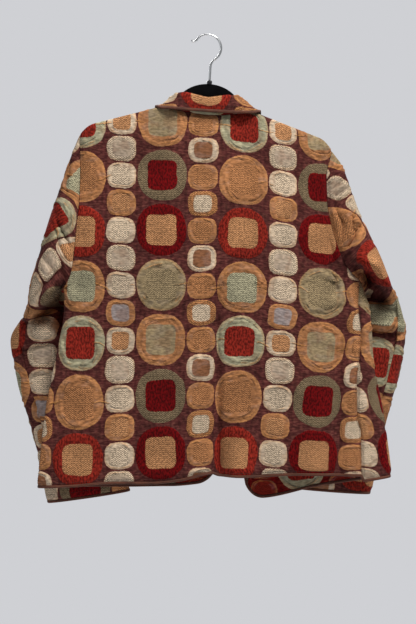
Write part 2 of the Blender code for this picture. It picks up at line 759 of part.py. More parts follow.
def add_sleeve(side, loop):
    name = "left" if side < 0 else "right"
    grid = sleeve_grid(side, loop)
    normals = grid_normals(grid, grid.mean(axis=1, keepdims=True), wraps=True)
    towards_body = normals[0, :, 0] * side < 0
    normals[0, towards_body, 0] = 0.0
    inner = grid + unit(normals) * CLOTH_WALL
    half = grid.shape[1] // 2
    closing = list(range(half, grid.shape[1])) + [0]
    for part, columns in (("back", list(range(half + 1))), ("front", closing)):
        outside, lining = grid[:, columns].copy(), inner[:, columns].copy()
        for here, there in ((0, 1), (-1, -2)):
            step = unit(outside[:, there] - outside[:, here]) * SEAM_GAP / 2
            outside[:, here] += step
            lining[:, here] += step
        add_piece(f"sleeve_{name}_{part}", *wall_mesh(outside, lining), "cloth")
    rings = binding_rings(grid[-1], inner[-1], grid[-1] - grid[-2], closed=True)
    add_piece("binding_cuff_" + name, *sweep_mesh(rings, True), "binding")


def hanger_top(away):
    """Upper edge of the hanger, at a distance from its middle."""
    reach = np.clip(away / CROWN_HALF_WIDTH, 0.0, 1.0)
    crown = CROWN_TOP - CROWN_RISE * (1 - np.sqrt(1 - reach**2))
    slack = (CLOTH_WALL + SEAM_GAP) * math.hypot(1.0, SHOULDER_SLOPE)
    slack = slack + JUNCTION_SLACK * ease((JUNCTION_AT - away) / JUNCTION_OVER)
    arm = NECK_POINT_HEIGHT - SHOULDER_SLOPE * (away - NECK_HALF) - slack
    return np.where(away < CROWN_HALF_WIDTH, np.maximum(crown, arm), arm)


def add_hanger():
    """Flat closed frame with a raised crown, its ferrule and the wire hook."""
    near = np.linspace(0.0, CROWN_RUN, 8)
    far = np.linspace(ARM_STARTS, ARM_ENDS, 6)
    away = np.concatenate((near, far))
    top = hanger_top(away)
    tangent = unit(np.stack((np.gradient(away), np.gradient(top)), axis=-1))
    half = ARM_HALF_HEIGHT + (CROWN_HALF_HEIGHT - ARM_HALF_HEIGHT) * ease(1 - away / CROWN_FADES)
    centre = np.stack((away + tangent[:, 1] * half, top - tangent[:, 0] * half), axis=-1)
    centre[0, 0] = 0.0
    end_height = (centre[-1, 1] - BAR_HEIGHT) / 2
    angle = np.radians(np.linspace(TIP_FROM_ANGLE, TIP_TO_ANGLE, 5))
    tip = np.stack(
        (
            TIP_MIDDLE + TIP_RADIUS * np.cos(angle),
            (centre[-1, 1] + BAR_HEIGHT) / 2 + end_height * TIP_FILL * np.sin(angle),
        ),
        axis=-1,
    )
    bar = np.array([(x, BAR_HEIGHT) for x in BAR_STOPS])
    path = np.concatenate((centre, tip, bar))
    heights = np.concatenate(
        (half, np.linspace(TIP_HALF_HEIGHT, BAR_HALF_HEIGHT, len(tip)), np.full(len(bar), BAR_HALF_HEIGHT))
    )
    mirrored = path[-2:0:-1] * [-1.0, 1.0]
    path = np.concatenate((path, mirrored))
    heights = np.concatenate((heights, heights[-2:0:-1]))
    along = tangents_of(path, True)
    across = np.stack((-along[:, 1], along[:, 0]), axis=-1)
    flank = HANGER_HALF_THICKNESS
    waist = HANGER_EDGE_SHARE * HANGER_CHAMFER
    section = []
    for sign in (1, -1):
        section += [(sign, 0.0, 0.0), (sign, -waist, sign * flank / 2)]
        section += [(sign, -HANGER_CHAMFER, sign * flank)]
        section += [(-sign, -HANGER_CHAMFER, sign * flank), (-sign, -waist, sign * flank / 2)]
    rings = []
    for sign, trim, y in section:
        reach = sign * (heights + trim)
        flat = path + across * reach[:, None]
        x, z = leaned(flat[:, 0] + HANGER_CENTRE, flat[:, 1])
        rings.append(np.stack((x, np.full_like(x, y), z), axis=-1))
    add_piece("hanger_frame", *sweep_mesh(np.stack(rings, axis=1), True), "frame")

    angle = np.arange(NECK_SIDES) * 2 * math.pi / NECK_SIDES
    foot = CROWN_TOP + SEAM_GAP
    rings = []
    for height, radius in (
        (foot, NECK_RADIUS),
        (foot + FERRULE_SHOULDER * NECK_HEIGHT_OF_FERRULE, NECK_RADIUS),
        (foot + NECK_HEIGHT_OF_FERRULE, FERRULE_TOP_SHARE * NECK_RADIUS),
    ):
        x, z = leaned(HANGER_CENTRE + radius * np.cos(angle), np.full_like(angle, height))
        rings.append(np.stack((x, radius * np.sin(angle), z), axis=-1))
    add_piece("hanger_neck", *sweep_mesh(np.stack(rings), False), "ferrule")

    rest = math.pi / 2 + LEAN
    inner = HOOK_RADIUS - WIRE_RADIUS
    middle = np.array([-inner * math.cos(rest), -inner * math.sin(rest)])
    angle = np.radians(np.linspace(HOOK_TIP_ANGLE, HOOK_FOOT_ANGLE, HOOK_STEPS))
    arc = middle + HOOK_RADIUS * np.stack((np.cos(angle), np.sin(angle)), axis=-1)
    curl = arc[0] + np.array(HOOK_CURL)
    shank = np.array([HANGER_CENTRE, arc[-1][1] - SHANK_DROP]) + np.array(SHANK_BEND)
    shank_foot = [(HANGER_CENTRE, foot + NECK_HEIGHT_OF_FERRULE + SEAM_GAP)]
    path = np.concatenate((curl, arc, shank, shank_foot))
    along = tangents_of(path, False)
    across = np.stack((-along[:, 1], along[:, 0]), axis=-1)
    rings = []
    for k in range(WIRE_SIDES):
        turn = k * 2 * math.pi / WIRE_SIDES
        flat = path + across * (WIRE_RADIUS * math.cos(turn))
        x, z = leaned(flat[:, 0], flat[:, 1])
        rings.append(np.stack((x, np.full_like(x, WIRE_RADIUS * math.sin(turn)), z), axis=-1))
    add_piece("hanger_hook", *sweep_mesh(np.stack(rings, axis=1), False), "hook")


def build():
    for leftover in list(bpy.data.objects):
        bpy.data.objects.remove(leftover)
    loops, neck = add_body()
    add_collar(neck)
    for side in (-1, 1):
        add_sleeve(side, loops[side])
    add_hanger()


build()
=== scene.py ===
"""Reversible tapestry jacket on a flat hanger: its cloth, sewing, hanger and stage.

Metres, +Z up. The origin lies inside the crown of the hook and the back of the jacket faces -Y.
"""

import math
from functools import cache, partial, reduce
from types import SimpleNamespace

import bpy
import numpy as np
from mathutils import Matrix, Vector


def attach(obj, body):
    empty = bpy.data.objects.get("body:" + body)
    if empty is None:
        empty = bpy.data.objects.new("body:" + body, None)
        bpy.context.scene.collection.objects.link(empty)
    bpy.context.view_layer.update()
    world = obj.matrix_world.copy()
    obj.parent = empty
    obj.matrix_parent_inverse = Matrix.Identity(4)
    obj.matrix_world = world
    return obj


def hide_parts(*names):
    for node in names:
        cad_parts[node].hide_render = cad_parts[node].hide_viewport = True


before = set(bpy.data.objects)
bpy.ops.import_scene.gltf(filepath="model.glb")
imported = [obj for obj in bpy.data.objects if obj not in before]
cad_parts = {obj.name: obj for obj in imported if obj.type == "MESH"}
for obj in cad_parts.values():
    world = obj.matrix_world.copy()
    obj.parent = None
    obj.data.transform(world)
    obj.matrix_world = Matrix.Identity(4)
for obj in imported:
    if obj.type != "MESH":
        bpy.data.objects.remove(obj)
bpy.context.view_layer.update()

bl_info = {
    "name": "Tapestry Jacket",
    "version": (1, 0, 0),
    "blender": (4, 5, 0),
    "location": "3D View > Sidebar > Jacket",
    "description": "Dresses the solids of a hanging jacket in figured cloth",
    "category": "Add Mesh",
}

BODY = "root"
SIDES = {-1: "left", 1: "right"}
# Seeds of everything uneven, and the steps between those of the pieces
SEED = 7
PUCKER_SEED = 5
BODY_SEED_STEP = 10
SLEEVE_SEED = 40
SLEEVE_SIDE_STEP = 20
SLEEVE_PART_STEP = 7
COLLAR_SEED = 90

# Walls, the gaps at sewn edges and at the hanger, and the binding tape
CLOTH_WALL = 0.002
CLOTH_SEAM_GAP = 0.00005
HEAD_GAP = 0.0004
HANGER_GAP = 0.0003
TAPE_RADIUS = 0.0017
TAPE_STRIP = 0.0005
TAPE_LIP = 0.0012
TAPE_ROUND_POINTS = 8
TAPE_END_TRIM = 0.000625
# How far a front's tape leans towards its corner along the hem and along the edge
HEM_LEAN = 0.3
EDGE_LEAN = 0.2
# Rows and columns in from an edge or a seam at which stitches run
EDGE_ROW = 3
COLLAR_EDGE_ROW = 4
SEAM_COLUMN = 1
LEFT_SEAM_COLUMN = 5
STITCHES_START = 2
STITCHES_END = 4
# Stitches: radius of a bead before it is scaled, and the shortest and longest share of a length
BEAD_RADIUS = 0.5
STITCH_SHARES = (0.8, 1.1)

# Hanger
LEAN = math.radians(3.6)
HANGER_CENTRE = 0.008
CROWN_TOP = -0.0786
CROWN_HALF_WIDTH = 0.055
CROWN_RISE = 0.045
CROWN_RUN = 0.052
CROWN_FADES = 0.075
ARM_STARTS = 0.060
ARM_ENDS = 0.162
ARM_HALF_HEIGHT = 0.007
CROWN_HALF_HEIGHT = 0.012
JUNCTION_SLACK = 0.0012
JUNCTION_AT = 0.085
JUNCTION_OVER = 0.020
TIP_MIDDLE = 0.166
TIP_RADIUS = 0.010
TIP_FILL = 0.98
TIP_HALF_HEIGHT = 0.0065
BAR_HEIGHT = -0.196
BAR_HALF_HEIGHT = 0.005
HANGER_HALF_THICKNESS = 0.0025
HANGER_CHAMFER = 0.0028
FERRULE_RADIUS = 0.0042
FERRULE_HEIGHT = 0.0052
WIRE_RADIUS = 0.0018
HOOK_RADIUS = 0.0222
HOOK_ANGLES = (150.0, -58.0)
HOOK_CURL = ((-0.0068, 0.0005), (-0.0050, -0.0018), (-0.0022, -0.0018))
SHANK_DROP = 0.0045
SHANK_BEND = ((0.0014, 0.0), (0.0002, -0.004), (0.0, -0.008))
TIP_ANGLES = (60.0, -75.0)
BAR_STARTS = 0.160
# Ferrule from its foot up: shares of its height and of its radius
FERRULE_PROFILE = ((0.0, 0.97), (0.06, 1.0), (0.66, 1.0), (0.78, 0.97), (0.90, 0.88), (1.0, 0.74))
# How finely the hanger is divided
CROWN_POINTS, ARM_POINTS, TIP_POINTS, BAR_POINTS = 27, 18, 13, 9
HOOK_POINTS, WIRE_POINTS = 22, 130
FRAME_SIDES, FERRULE_SIDES, WIRE_SIDES = 20, 32, 16

# Shoulders, in the hanger's own leaning frame
NECK_HALF = 0.064
NECK_POINT_HEIGHT = -0.1158
SHOULDER_SLOPE = 0.325
TIP_STARTS = 0.184
TIP_CURVE = 30.0
TIP_HALF = 0.2056
BACK_NECK_DIP = 0.0145
FRONT_NECK_POWER = 0.8

# Body ring
FULLNESS = 0.75
SWELL_DROP = 0.26
SWELL_POWER = 0.7
ARCH_DROP = 0.007
ARCH_WIDTH = 0.0045
ARCH_FADE = 0.10
UNDERARM = {-1: -0.411, 1: -0.400}
FRONT_SCOOP = 0.008
FOLD_FADE = 0.3
BODY_MIDDLE = -0.45
NEAR_TOP = -0.15
NEAR_HEM = -0.72
SETTLING_ROUNDS = 6
# Quarter turns once round the body
FULL_TURN = 4.0

# Front edges
FRONT_TOP_DROP = 0.072
FRONT_TOP_INSET = 0.030
FRONT_MIDDLE = -0.42
FRONT_CORNER = 0.030
FRONT_FOOT = {-1: 0.0120, 1: 0.0630}

# How finely the cloth is divided, in even counts
ARMHOLE_ROWS = 104
SIDE_ROWS = 146
SHOULDER_COLUMNS = 70
BACK_NECK_COLUMNS = 84
FRONT_NECK_COLUMNS = 50
SLEEVE_ROWS = 220
COLLAR_STEPS = 44


def table(names, *rows):
    """Columns of a table by name."""
    return dict(zip(names.split(), np.array(rows, float).T))


def rows_of(columns):
    """Rows of a table as dictionaries."""
    return [dict(zip(columns, row)) for row in zip(*columns.values())]


def crease_table(*rows):
    """Creases by their line, their reach to either side and their depth."""
    return table("x_from z_from x_to z_to above below depth", *rows)


# Flattened body ring: drop below the origin, edges, and how far back and fronts stand off
BODY_RING = table(
    "drop left right back front",
    (0.160, -0.228, 0.222, 0.030, 0.026),
    (0.260, -0.238, 0.228, 0.033, 0.028),
    (0.340, -0.240, 0.238, 0.035, 0.030),
    (0.400, -0.235, 0.2475, 0.035, 0.030),
    (0.420, -0.233, 0.2540, 0.035, 0.030),
    (0.450, -0.234, 0.2635, 0.035, 0.029),
    (0.520, -0.246, 0.267, 0.036, 0.028),
    (0.620, -0.264, 0.285, 0.036, 0.027),
    (0.740, -0.277, 0.301, 0.035, 0.026),
)
# Armholes from the shoulder down, by the share of their drop
ARMHOLE = table(
    "share left right",
    (0.00, -0.2083, 0.2021),
    (0.20, -0.2065, 0.1930),
    (0.40, -0.2075, 0.1940),
    (0.60, -0.2123, 0.2020),
    (0.80, -0.2170, 0.2160),
    (0.92, -0.2225, 0.2300),
    (1.00, -0.2345, 0.2475),
)
# The right side seam's wander as it puckers, and the groove it makes
SEAM_WANDER = table(
    "drop x",
    (0.400, 0.2475),
    (0.438, 0.2445),
    (0.490, 0.2486),
    (0.534, 0.2451),
    (0.561, 0.2414),
    (0.621, 0.2420),
    (0.644, 0.2478),
    (0.740, 0.2492),
)
SEAM_PUCKER = 0.0014
SEAM_PUCKER_PITCH = 0.0070
SEAM_PUCKER_REACH = 0.012
SEAM_GROOVE = 0.0016
SEAM_GROOVE_REACH = 0.0035
# Soft lengthwise folds of the body; a positive depth is a hollow
BODY_FOLDS = table(
    "side x_top x_foot z_top z_foot width depth",
    (-1, 0.0130, 0.0170, -0.400, -0.720, 0.019, 0.018),
    (-1, -0.0220, -0.0200, -0.420, -0.720, 0.026, -0.005),
    (-1, 0.2130, 0.2080, -0.330, -0.560, 0.016, 0.010),
    (-1, 0.1000, 0.1150, -0.480, -0.720, 0.045, 0.007),
    (-1, -0.1150, -0.1250, -0.480, -0.720, 0.050, 0.006),
    (1, -0.1250, -0.1300, -0.300, -0.720, 0.040, 0.007),
    (1, 0.1300, 0.1450, -0.300, -0.720, 0.040, 0.007),
)
BACK_HEM = table(
    "x z",
    (-0.277, -0.7340),
    (-0.220, -0.7310),
    (-0.160, -0.7260),
    (-0.090, -0.7254),
    (-0.048, -0.7206),
    (0.007, -0.7095),
    (0.019, -0.7135),
    (0.053, -0.7149),
    (0.150, -0.7117),
    (0.250, -0.7140),
)
FRONT_HEM = {
    -1: table("x z", (-0.277, -0.7340), (-0.061, -0.7340), (0.012, -0.7270)),
    1: table("x z", (0.063, -0.7515), (0.083, -0.7535), (0.175, -0.7345), (0.301, -0.7160)),
}
# Collar, from a front end to the centre back: heights of its fold and free edge against the
# neck points, the fold's lean towards the neck, how far the free edge lies outside the seam,
# and how far the fall sags between them
COLLAR = table(
    "share fold edge lean spread sag",
    (0.000, -0.0620, -0.0980, 0.001, 0.008, 0.000),
    (0.167, -0.0440, -0.0820, 0.001, 0.010, 0.000),
    (0.250, -0.0260, -0.0600, 0.002, 0.014, 0.000),
    (0.333, -0.0110, -0.0330, 0.003, 0.019, 0.001),
    (0.417, -0.0005, -0.0095, 0.004, 0.021, 0.001),
    (0.500, 0.0080, -0.0022, 0.005, 0.020, 0.002),
    (0.625, 0.0125, -0.0060, 0.006, 0.015, 0.002),
    (0.765, 0.0190, -0.0070, 0.003, 0.011, 0.001),
    (1.000, 0.0120, -0.0075, 0.001, 0.009, 0.000),
)
LIES_FLAT_FROM = 0.45
LIES_FLAT_OVER = 0.20
FOLD_RADIUS = 0.0040
FOLD_ANGLES = (178.0, 152.0, 128.0, 102.0, 76.0, 50.0, 24.0)
STAND_BOW = 0.55
COLLAR_INSIDE = 0.4
NECK_SMOOTHING = 9

# Sleeves: outer and inner edge of each ring, and its two half depths
SLEEVE = {
    -1: table(
        "out_x out_y out_z in_x in_y in_z back front",
        (-0.2083, 0.000, -0.1640, -0.2345, 0.000, -0.4110, 0.016, 0.016),
        (-0.2245, 0.004, -0.2025, -0.2360, 0.002, -0.4126, 0.026, 0.030),
        (-0.2445, 0.009, -0.2625, -0.2372, 0.006, -0.4142, 0.033, 0.042),
        (-0.2700, 0.015, -0.3430, -0.2372, 0.013, -0.4165, 0.039, 0.050),
        (-0.2885, 0.022, -0.4014, -0.2330, 0.024, -0.4200, 0.042, 0.050),
        (-0.3010, 0.038, -0.4520, -0.2250, 0.040, -0.4310, 0.034, 0.044),
        (-0.3255, 0.055, -0.5000, -0.2140, 0.056, -0.4680, 0.034, 0.034),
        (-0.3145, 0.062, -0.5640, -0.1890, 0.062, -0.5450, 0.034, 0.032),
        (-0.2930, 0.062, -0.6400, -0.1610, 0.062, -0.6340, 0.029, 0.028),
        (-0.2665, 0.057, -0.7654, -0.1300, 0.057, -0.7454, 0.023, 0.023),
    ),
    1: table(
        "out_x out_y out_z in_x in_y in_z back front",
        (0.2021, 0.000, -0.1880, 0.2475, 0.000, -0.4000, 0.016, 0.016),
        (0.2195, 0.004, -0.2155, 0.2495, 0.002, -0.4012, 0.026, 0.030),
        (0.2450, 0.009, -0.2850, 0.2515, 0.006, -0.4026, 0.033, 0.042),
        (0.2775, 0.015, -0.3520, 0.2520, 0.014, -0.4045, 0.039, 0.050),
        (0.3045, 0.022, -0.4145, 0.2485, 0.025, -0.4085, 0.042, 0.050),
        (0.3195, 0.038, -0.4500, 0.2400, 0.041, -0.4200, 0.034, 0.044),
        (0.3280, 0.055, -0.4900, 0.2270, 0.058, -0.4570, 0.034, 0.034),
        (0.3160, 0.062, -0.5600, 0.1960, 0.064, -0.5430, 0.034, 0.032),
        (0.2950, 0.062, -0.6390, 0.1680, 0.062, -0.6370, 0.029, 0.028),
        (0.2710, 0.057, -0.7504, 0.1390, 0.057, -0.7404, 0.023, 0.023),
    ),
}
RING_FULLNESS = 0.85
HEAD_BLEND_ROWS = 2.5
SEAM_TURN = math.radians(45)
SEAM_TURNS_FROM = 2.0
SEAM_TURNS_OVER = 4.0
UNDERARM_SHARE = 0.15
SLEEVE_TUCKS = table(
    "side ring turn along round depth",
    (-1, 5.10, 100.0, 0.42, 55.0, 0.013),
    (-1, 6.60, 90.0, 0.35, 60.0, 0.006),
    (1, 4.95, 95.0, 0.42, 55.0, 0.015),
    (1, 6.25, 75.0, 0.25, 60.0, 0.007),
)

# Creases pressed in, where a positive depth is a trough and a negative one a ridge: how
# soon they end along their line and at a seam, and the share of a sleeve's thickness they may take
CREASE_END = 0.009
CREASE_FADE = 0.016
CREASE_DEEPEST = 0.88
BACK_CREASES = crease_table(
    (0.0060, -0.480, 0.0090, -0.720, 0.010, 0.007, -0.0030),
    (0.0170, -0.470, 0.0200, -0.720, 0.005, 0.012, 0.0050),
    (0.1990, -0.300, 0.2040, -0.420, 0.012, 0.008, 0.0060),
    (-0.2050, -0.330, -0.2120, -0.410, 0.010, 0.012, 0.0035),
    (-0.1500, -0.210, 0.1400, -0.222, 0.016, 0.020, 0.0010),
    (-0.1900, -0.270, -0.1300, -0.300, 0.010, 0.014, 0.0014),
    (0.1300, -0.300, 0.1850, -0.270, 0.010, 0.014, 0.0016),
    (0.1850, -0.452, 0.2380, -0.436, 0.006, 0.009, 0.0030),
    (0.1780, -0.505, 0.2360, -0.520, 0.007, 0.010, 0.0024),
    (-0.0700, -0.140, 0.0700, -0.148, 0.004, 0.006, 0.0016),
)
FRONT_CREASES = crease_table(
    (-0.1900, -0.300, -0.1400, -0.340, 0.010, 0.014, 0.0022),
    (-0.2000, -0.400, -0.1250, -0.452, 0.009, 0.015, 0.0030),
    (0.1400, -0.320, 0.1950, -0.285, 0.010, 0.013, 0.0024),
    (0.1500, -0.470, 0.2100, -0.430, 0.009, 0.014, 0.0028),
    (-0.0900, -0.560, -0.0750, -0.700, 0.014, 0.009, 0.0026),
    (0.1150, -0.540, 0.1250, -0.700, 0.012, 0.010, -0.0024),
)
SLEEVE_CREASES = {
    -1: crease_table(
        (-0.2940, -0.458, -0.2400, -0.405, 0.013, 0.004, -0.0140),
        (-0.2990, -0.440, -0.2470, -0.392, 0.006, 0.006, 0.0080),
        (-0.2800, -0.456, -0.2350, -0.411, 0.004, 0.019, 0.0460),
        (-0.2350, -0.412, -0.2440, -0.472, 0.018, 0.012, 0.0420),
        (-0.2390, -0.312, -0.2255, -0.338, 0.003, 0.004, 0.0072),
        (-0.2450, -0.322, -0.2400, -0.342, 0.004, 0.003, 0.0040),
        (-0.2249, -0.206, -0.2280, -0.254, 0.004, 0.005, 0.0040),
        (-0.2600, -0.268, -0.2450, -0.292, 0.005, 0.006, 0.0032),
        (-0.2630, -0.365, -0.2500, -0.382, 0.005, 0.005, 0.0035),
        (-0.2350, -0.385, -0.2280, -0.405, 0.004, 0.005, 0.0064),
        (-0.3150, -0.472, -0.2650, -0.464, 0.004, 0.005, 0.0072),
        (-0.3150, -0.512, -0.2500, -0.503, 0.004, 0.006, 0.0064),
        (-0.2900, -0.558, -0.2350, -0.548, 0.004, 0.006, 0.0042),
        (-0.2900, -0.602, -0.2400, -0.590, 0.006, 0.009, 0.0042),
    ),
    1: crease_table(
        (0.2264, -0.360, 0.2708, -0.377, 0.014, 0.005, -0.0080),
        (0.2708, -0.377, 0.3137, -0.429, 0.014, 0.005, -0.0070),
        (0.2440, -0.377, 0.2680, -0.390, 0.005, 0.013, 0.0220),
        (0.2540, -0.392, 0.2660, -0.422, 0.010, 0.013, 0.0300),
        (0.2640, -0.389, 0.2930, -0.430, 0.007, 0.016, 0.0430),
        (0.2010, -0.254, 0.2228, -0.235, 0.004, 0.004, 0.0048),
        (0.2062, -0.265, 0.2259, -0.250, 0.004, 0.004, 0.0051),
        (0.2083, -0.286, 0.2176, -0.304, 0.004, 0.004, 0.0054),
        (0.2176, -0.306, 0.2166, -0.337, 0.005, 0.004, 0.0045),
        (0.2333, -0.290, 0.2364, -0.317, 0.004, 0.005, 0.0051),
        (0.2458, -0.315, 0.2302, -0.343, 0.004, 0.004, 0.0067),
        (0.2500, -0.321, 0.2354, -0.348, 0.004, 0.004, -0.0042),
        (0.2560, -0.310, 0.2700, -0.345, 0.004, 0.006, 0.0032),
        (0.2685, -0.479, 0.3200, -0.486, 0.004, 0.006, 0.0104),
        (0.2700, -0.470, 0.3150, -0.474, 0.005, 0.004, -0.0048),
        (0.2700, -0.580, 0.3050, -0.600, 0.006, 0.009, 0.0045),
    ),
}
SLEEVE_FRONT_CREASES = {
    -1: crease_table(
        (-0.2950, -0.445, -0.2420, -0.428, 0.008, 0.012, 0.0070),
        (-0.2700, -0.330, -0.2420, -0.360, 0.006, 0.008, 0.0028),
        (-0.3050, -0.520, -0.2300, -0.500, 0.008, 0.011, 0.0042),
        (-0.2800, -0.620, -0.2100, -0.600, 0.010, 0.012, 0.0026),
    ),
    1: crease_table(
        (0.2480, -0.425, 0.3050, -0.448, 0.008, 0.013, 0.0075),
        (0.2400, -0.345, 0.2680, -0.318, 0.006, 0.008, 0.0026),
        (0.2350, -0.505, 0.3100, -0.520, 0.007, 0.011, 0.0046),
        (0.2150, -0.640, 0.2750, -0.655, 0.009, 0.012, 0.0024),
    ),
}

# The woven repeat: lanes of large discs, and lanes of small motifs between them
LANE = 0.1328
ROW = 0.0874
# Each kind of lane: where its middle lies on the repeat, how far its motifs are raised and how much
# further in every second lane, their pitch and cycle, the half width, half height and squareness
# of the outline and the core, and how soft their edges are
DISC_LANE = {
    "offset": 0.5,
    "lift": 0.0,
    "step": 0.006,
    "pitch": ROW,
    "cycle": 4,
    "outline": (0.0405, 0.0410, 2.25),
    "core": (0.0245, 0.0243, 5.0),
    "soft": (0.015, 0.03),
}
SMALL_LANE = {
    "offset": 0.0,
    "lift": 0.0037,
    "step": 0.0,
    "pitch": ROW / 2,
    "cycle": 8,
    "outline": (0.0237, 0.0207, 2.9),
    "core": (0.0145, 0.0138, 4.0),
    "soft": (0.025, 0.05),
}
# Weave of a yarn area: smooth puckered twill, zigzag grain, or chenille pile
SMOOTH, ZIGZAG, PILE = 0.0, 0.5, 1.0
# Each motif down a lane and then down the next one: ring yarn and weave, core yarn and weave
DISC_CHART = (
    ("pale_green", SMOOTH, "rust", PILE),
    ("orange", SMOOTH, "orange", ZIGZAG),
    ("rust", PILE, "tan", ZIGZAG),
    ("orange", SMOOTH, "pale_green", ZIGZAG),
    ("orange", SMOOTH, "olive", SMOOTH),
    ("grey_green", ZIGZAG, "crimson", PILE),
    ("crimson", PILE, "tan", ZIGZAG),
    ("olive", SMOOTH, "olive", ZIGZAG),
)
PALE = ("cream", SMOOTH, "cream", ZIGZAG)
SHADED = ("cream", ZIGZAG, "oyster", SMOOTH)
GOLDEN = ("orange", SMOOTH, "orange", ZIGZAG)
SMALL_CHART = (
    ("cream", SMOOTH, "tan", ZIGZAG),
    SHADED,
    PALE,
    ("orange", SMOOTH, "tan", ZIGZAG),
    PALE,
    SHADED,
    PALE,
    ("orange", SMOOTH, "lilac", SMOOTH),
) + 2 * (GOLDEN, ("cream", SMOOTH, "copper", SMOOTH), GOLDEN, ("orange", ZIGZAG, "cream", ZIGZAG))
# On the other face the yarns change places
REVERSE_DISC_CHART = (
    ("rust", PILE, "pale_green", SMOOTH),
    ("copper", ZIGZAG, "plum", SMOOTH),
    ("pale_green", SMOOTH, "rust", PILE),
    ("grey_green", SMOOTH, "copper", ZIGZAG),
    ("plum", ZIGZAG, "orange", SMOOTH),
    ("rust", PILE, "grey_green", ZIGZAG),
    ("grey_green", ZIGZAG, "rust", PILE),
    ("plum", SMOOTH, "copper", ZIGZAG),
)
REVERSE_SMALL_CHART = 8 * (
    ("rust", ZIGZAG, "crimson", SMOOTH),
    ("rust", SMOOTH, "rust", ZIGZAG),
)

# Relief of the weave, in shares of an outline: where a motif starts to rise and is full, and where
# its band of puckers starts, is full, thins out and ends
RELIEF_FADE = 0.010
DISC_PUFF = (1.04, 0.88)
SMALL_PUFF = (1.06, 0.81)
DISC_BAND = (0.45, 0.70, 0.92, 1.02)
SMALL_BAND = (0.35, 0.65, 0.90, 1.05)
# Puckers: from one to the next, how far they sway, how they break up, and how high small ones are
DISC_PUCKER = 0.0095
SMALL_PUCKER = 0.0085
PUCKER_SWAY = 3.0
PUCKER_BREAKS = 0.7
PUCKER_PEAK = 1.4
SMALL_PUCKER_SHARE = 0.6
# Lengths across and down of each unevenness, and the step of its seed
COARSE, FINE = (0.013, 0.013, 0), (0.0075, 0.006, 1)
RIPPLE, ROLL = (0.035, 0.0085, 2), (0.085, 0.110, 3)

# The part of a noise's range over which a finish grows lighter
MIDTONES = (0.3, 0.7)
# Yarns up close: features a metre across and down the cloth, and their detail
YARN_NOISE = {
    "sway": (42.0, 42.0, 2.0),
    "slow": (24.0, 24.0, 0.5),
    "jitter": (420.0, 420.0, 1.0),
    "streak": (95.0, 400.0, 3.0),
    "crinkle": (120.0, 150.0, 2.0),
    "fuzz": (360.0, 210.0, 2.0),
    "twill": (130.0, 330.0, 3.0),
    "cloud": (50.0, 90.0, 2.0),
    "fleck": (260.0, 300.0, 1.0),
}
SWAY = 0.0036
JITTER = 0.0016
RIB_PITCH = 0.0072
RIB_SWAY = 6.0
TOOTH = 0.0023
TOOTH_SLOPE = 0.85
GRAIN_ROW = 0.0015
GRAIN_JITTER = 0.0014
TAPE_RIB = 0.0022
TAPE_SLANT = 2800.0
# Level and half width of the raised and of the sunken line in the rim of a disc and of a small
# motif, how far they wander, and how steeply they end at the sides
# The raised line is painted gold as a highlight, and the sunken line is painted darker as shade.
CREST_LINES = ((0.87, 0.034), (0.86, 0.060))
VALLEY_LINES = ((0.79, 0.036), (0.74, 0.060))
RIM_WAVE = 0.34
CAP_SLOPE = 0.55
FLOAT_WAVE = 0.022
FLOAT_SHADE_DROP = 0.0016

# Heights of the rows of discs on the back, as drops below the origin, down four disc lanes
LEVELS = table(
    "first second third fourth",
    (0.1432, 0.1481, 0.1505, 0.1711),
    (0.2303, 0.2358, 0.2372, 0.2556),
    (0.3206, 0.3249, 0.3229, 0.3381),
    (0.4077, 0.4137, 0.4114, 0.4283),
    (0.4998, 0.5007, 0.4968, 0.5132),
    (0.5987, 0.5913, 0.5861, 0.6013),
    (0.6893, 0.6838, 0.6771, 0.6892),
)
# How far each of them lies to the right of its place on the even cloth
SHIFTS = table(
    "first second third fourth",
    (-0.0030, 0.0030, 0.0080, 0.0100),
    (-0.0010, 0.0020, 0.0035, 0.0023),
    (0.0005, 0.0005, -0.0010, -0.0035),
    (0.0020, 0.0000, -0.0035, -0.0050),
    (0.0010, -0.0010, -0.0040, -0.0020),
    (-0.0010, -0.0010, -0.0030, -0.0030),
    (-0.0040, 0.0000, -0.0015, -0.0030),
)
# Where a lane of discs crosses the back, and the turn from which a front's repeat is measured
BACK_LANE_X = -0.0742
FRONT_TURN = 1.42
# Where a known motif lies on the other pieces: its height and its place on the repeat
FRONT_MOTIF = {-1: (-0.300, -0.020, 0.0), 1: (-0.589, 0.0690, 0.0814)}
COLLAR_MOTIF = (-0.0008, 0.1663)
# How far the weft of each front drops from the side seam to the front edge
FRONT_SAG = {-1: 0.012, 1: 0.030}
# Share of its width that the cloth keeps where the collar is drawn round the left of the neck,
# and how much more cloth the stand takes up than shows
COLLAR_DRAWN = 0.92
STAND_TAKES = 1.4
# On a sleeve the grain slants out with the upper arm and hangs below the elbow: the place of a
# known motif at the shoulder, on the upper arm and below, its place on the repeat, the slant of
# the grain in degrees, how far the weft drops towards the outer edge, and how much cloth the
# small wrinkles take up
SLEEVE_MOTIFS = {
    -1: table(
        "x z u v slant drop gather",
        (-0.2120, -0.2335, -0.0170, 0.2622, 25.0, 0.10, 1.30),
        (-0.2518, -0.3000, 0.0000, 0.3496, 46.0, 0.29, 1.30),
        (-0.2722, -0.4800, 0.0664, 0.5224, 0.0, 0.00, 0.96),
    ),
    1: table(
        "x z u v slant drop gather",
        (0.2085, -0.3170, 0.0000, 0.0874, 45.0, -0.03, 1.46),
        (0.2085, -0.3170, 0.0000, 0.0874, 45.0, -0.03, 1.46),
        (0.2744, -0.5332, 0.0000, 0.3496, -6.0, 0.00, 1.00),
    ),
}
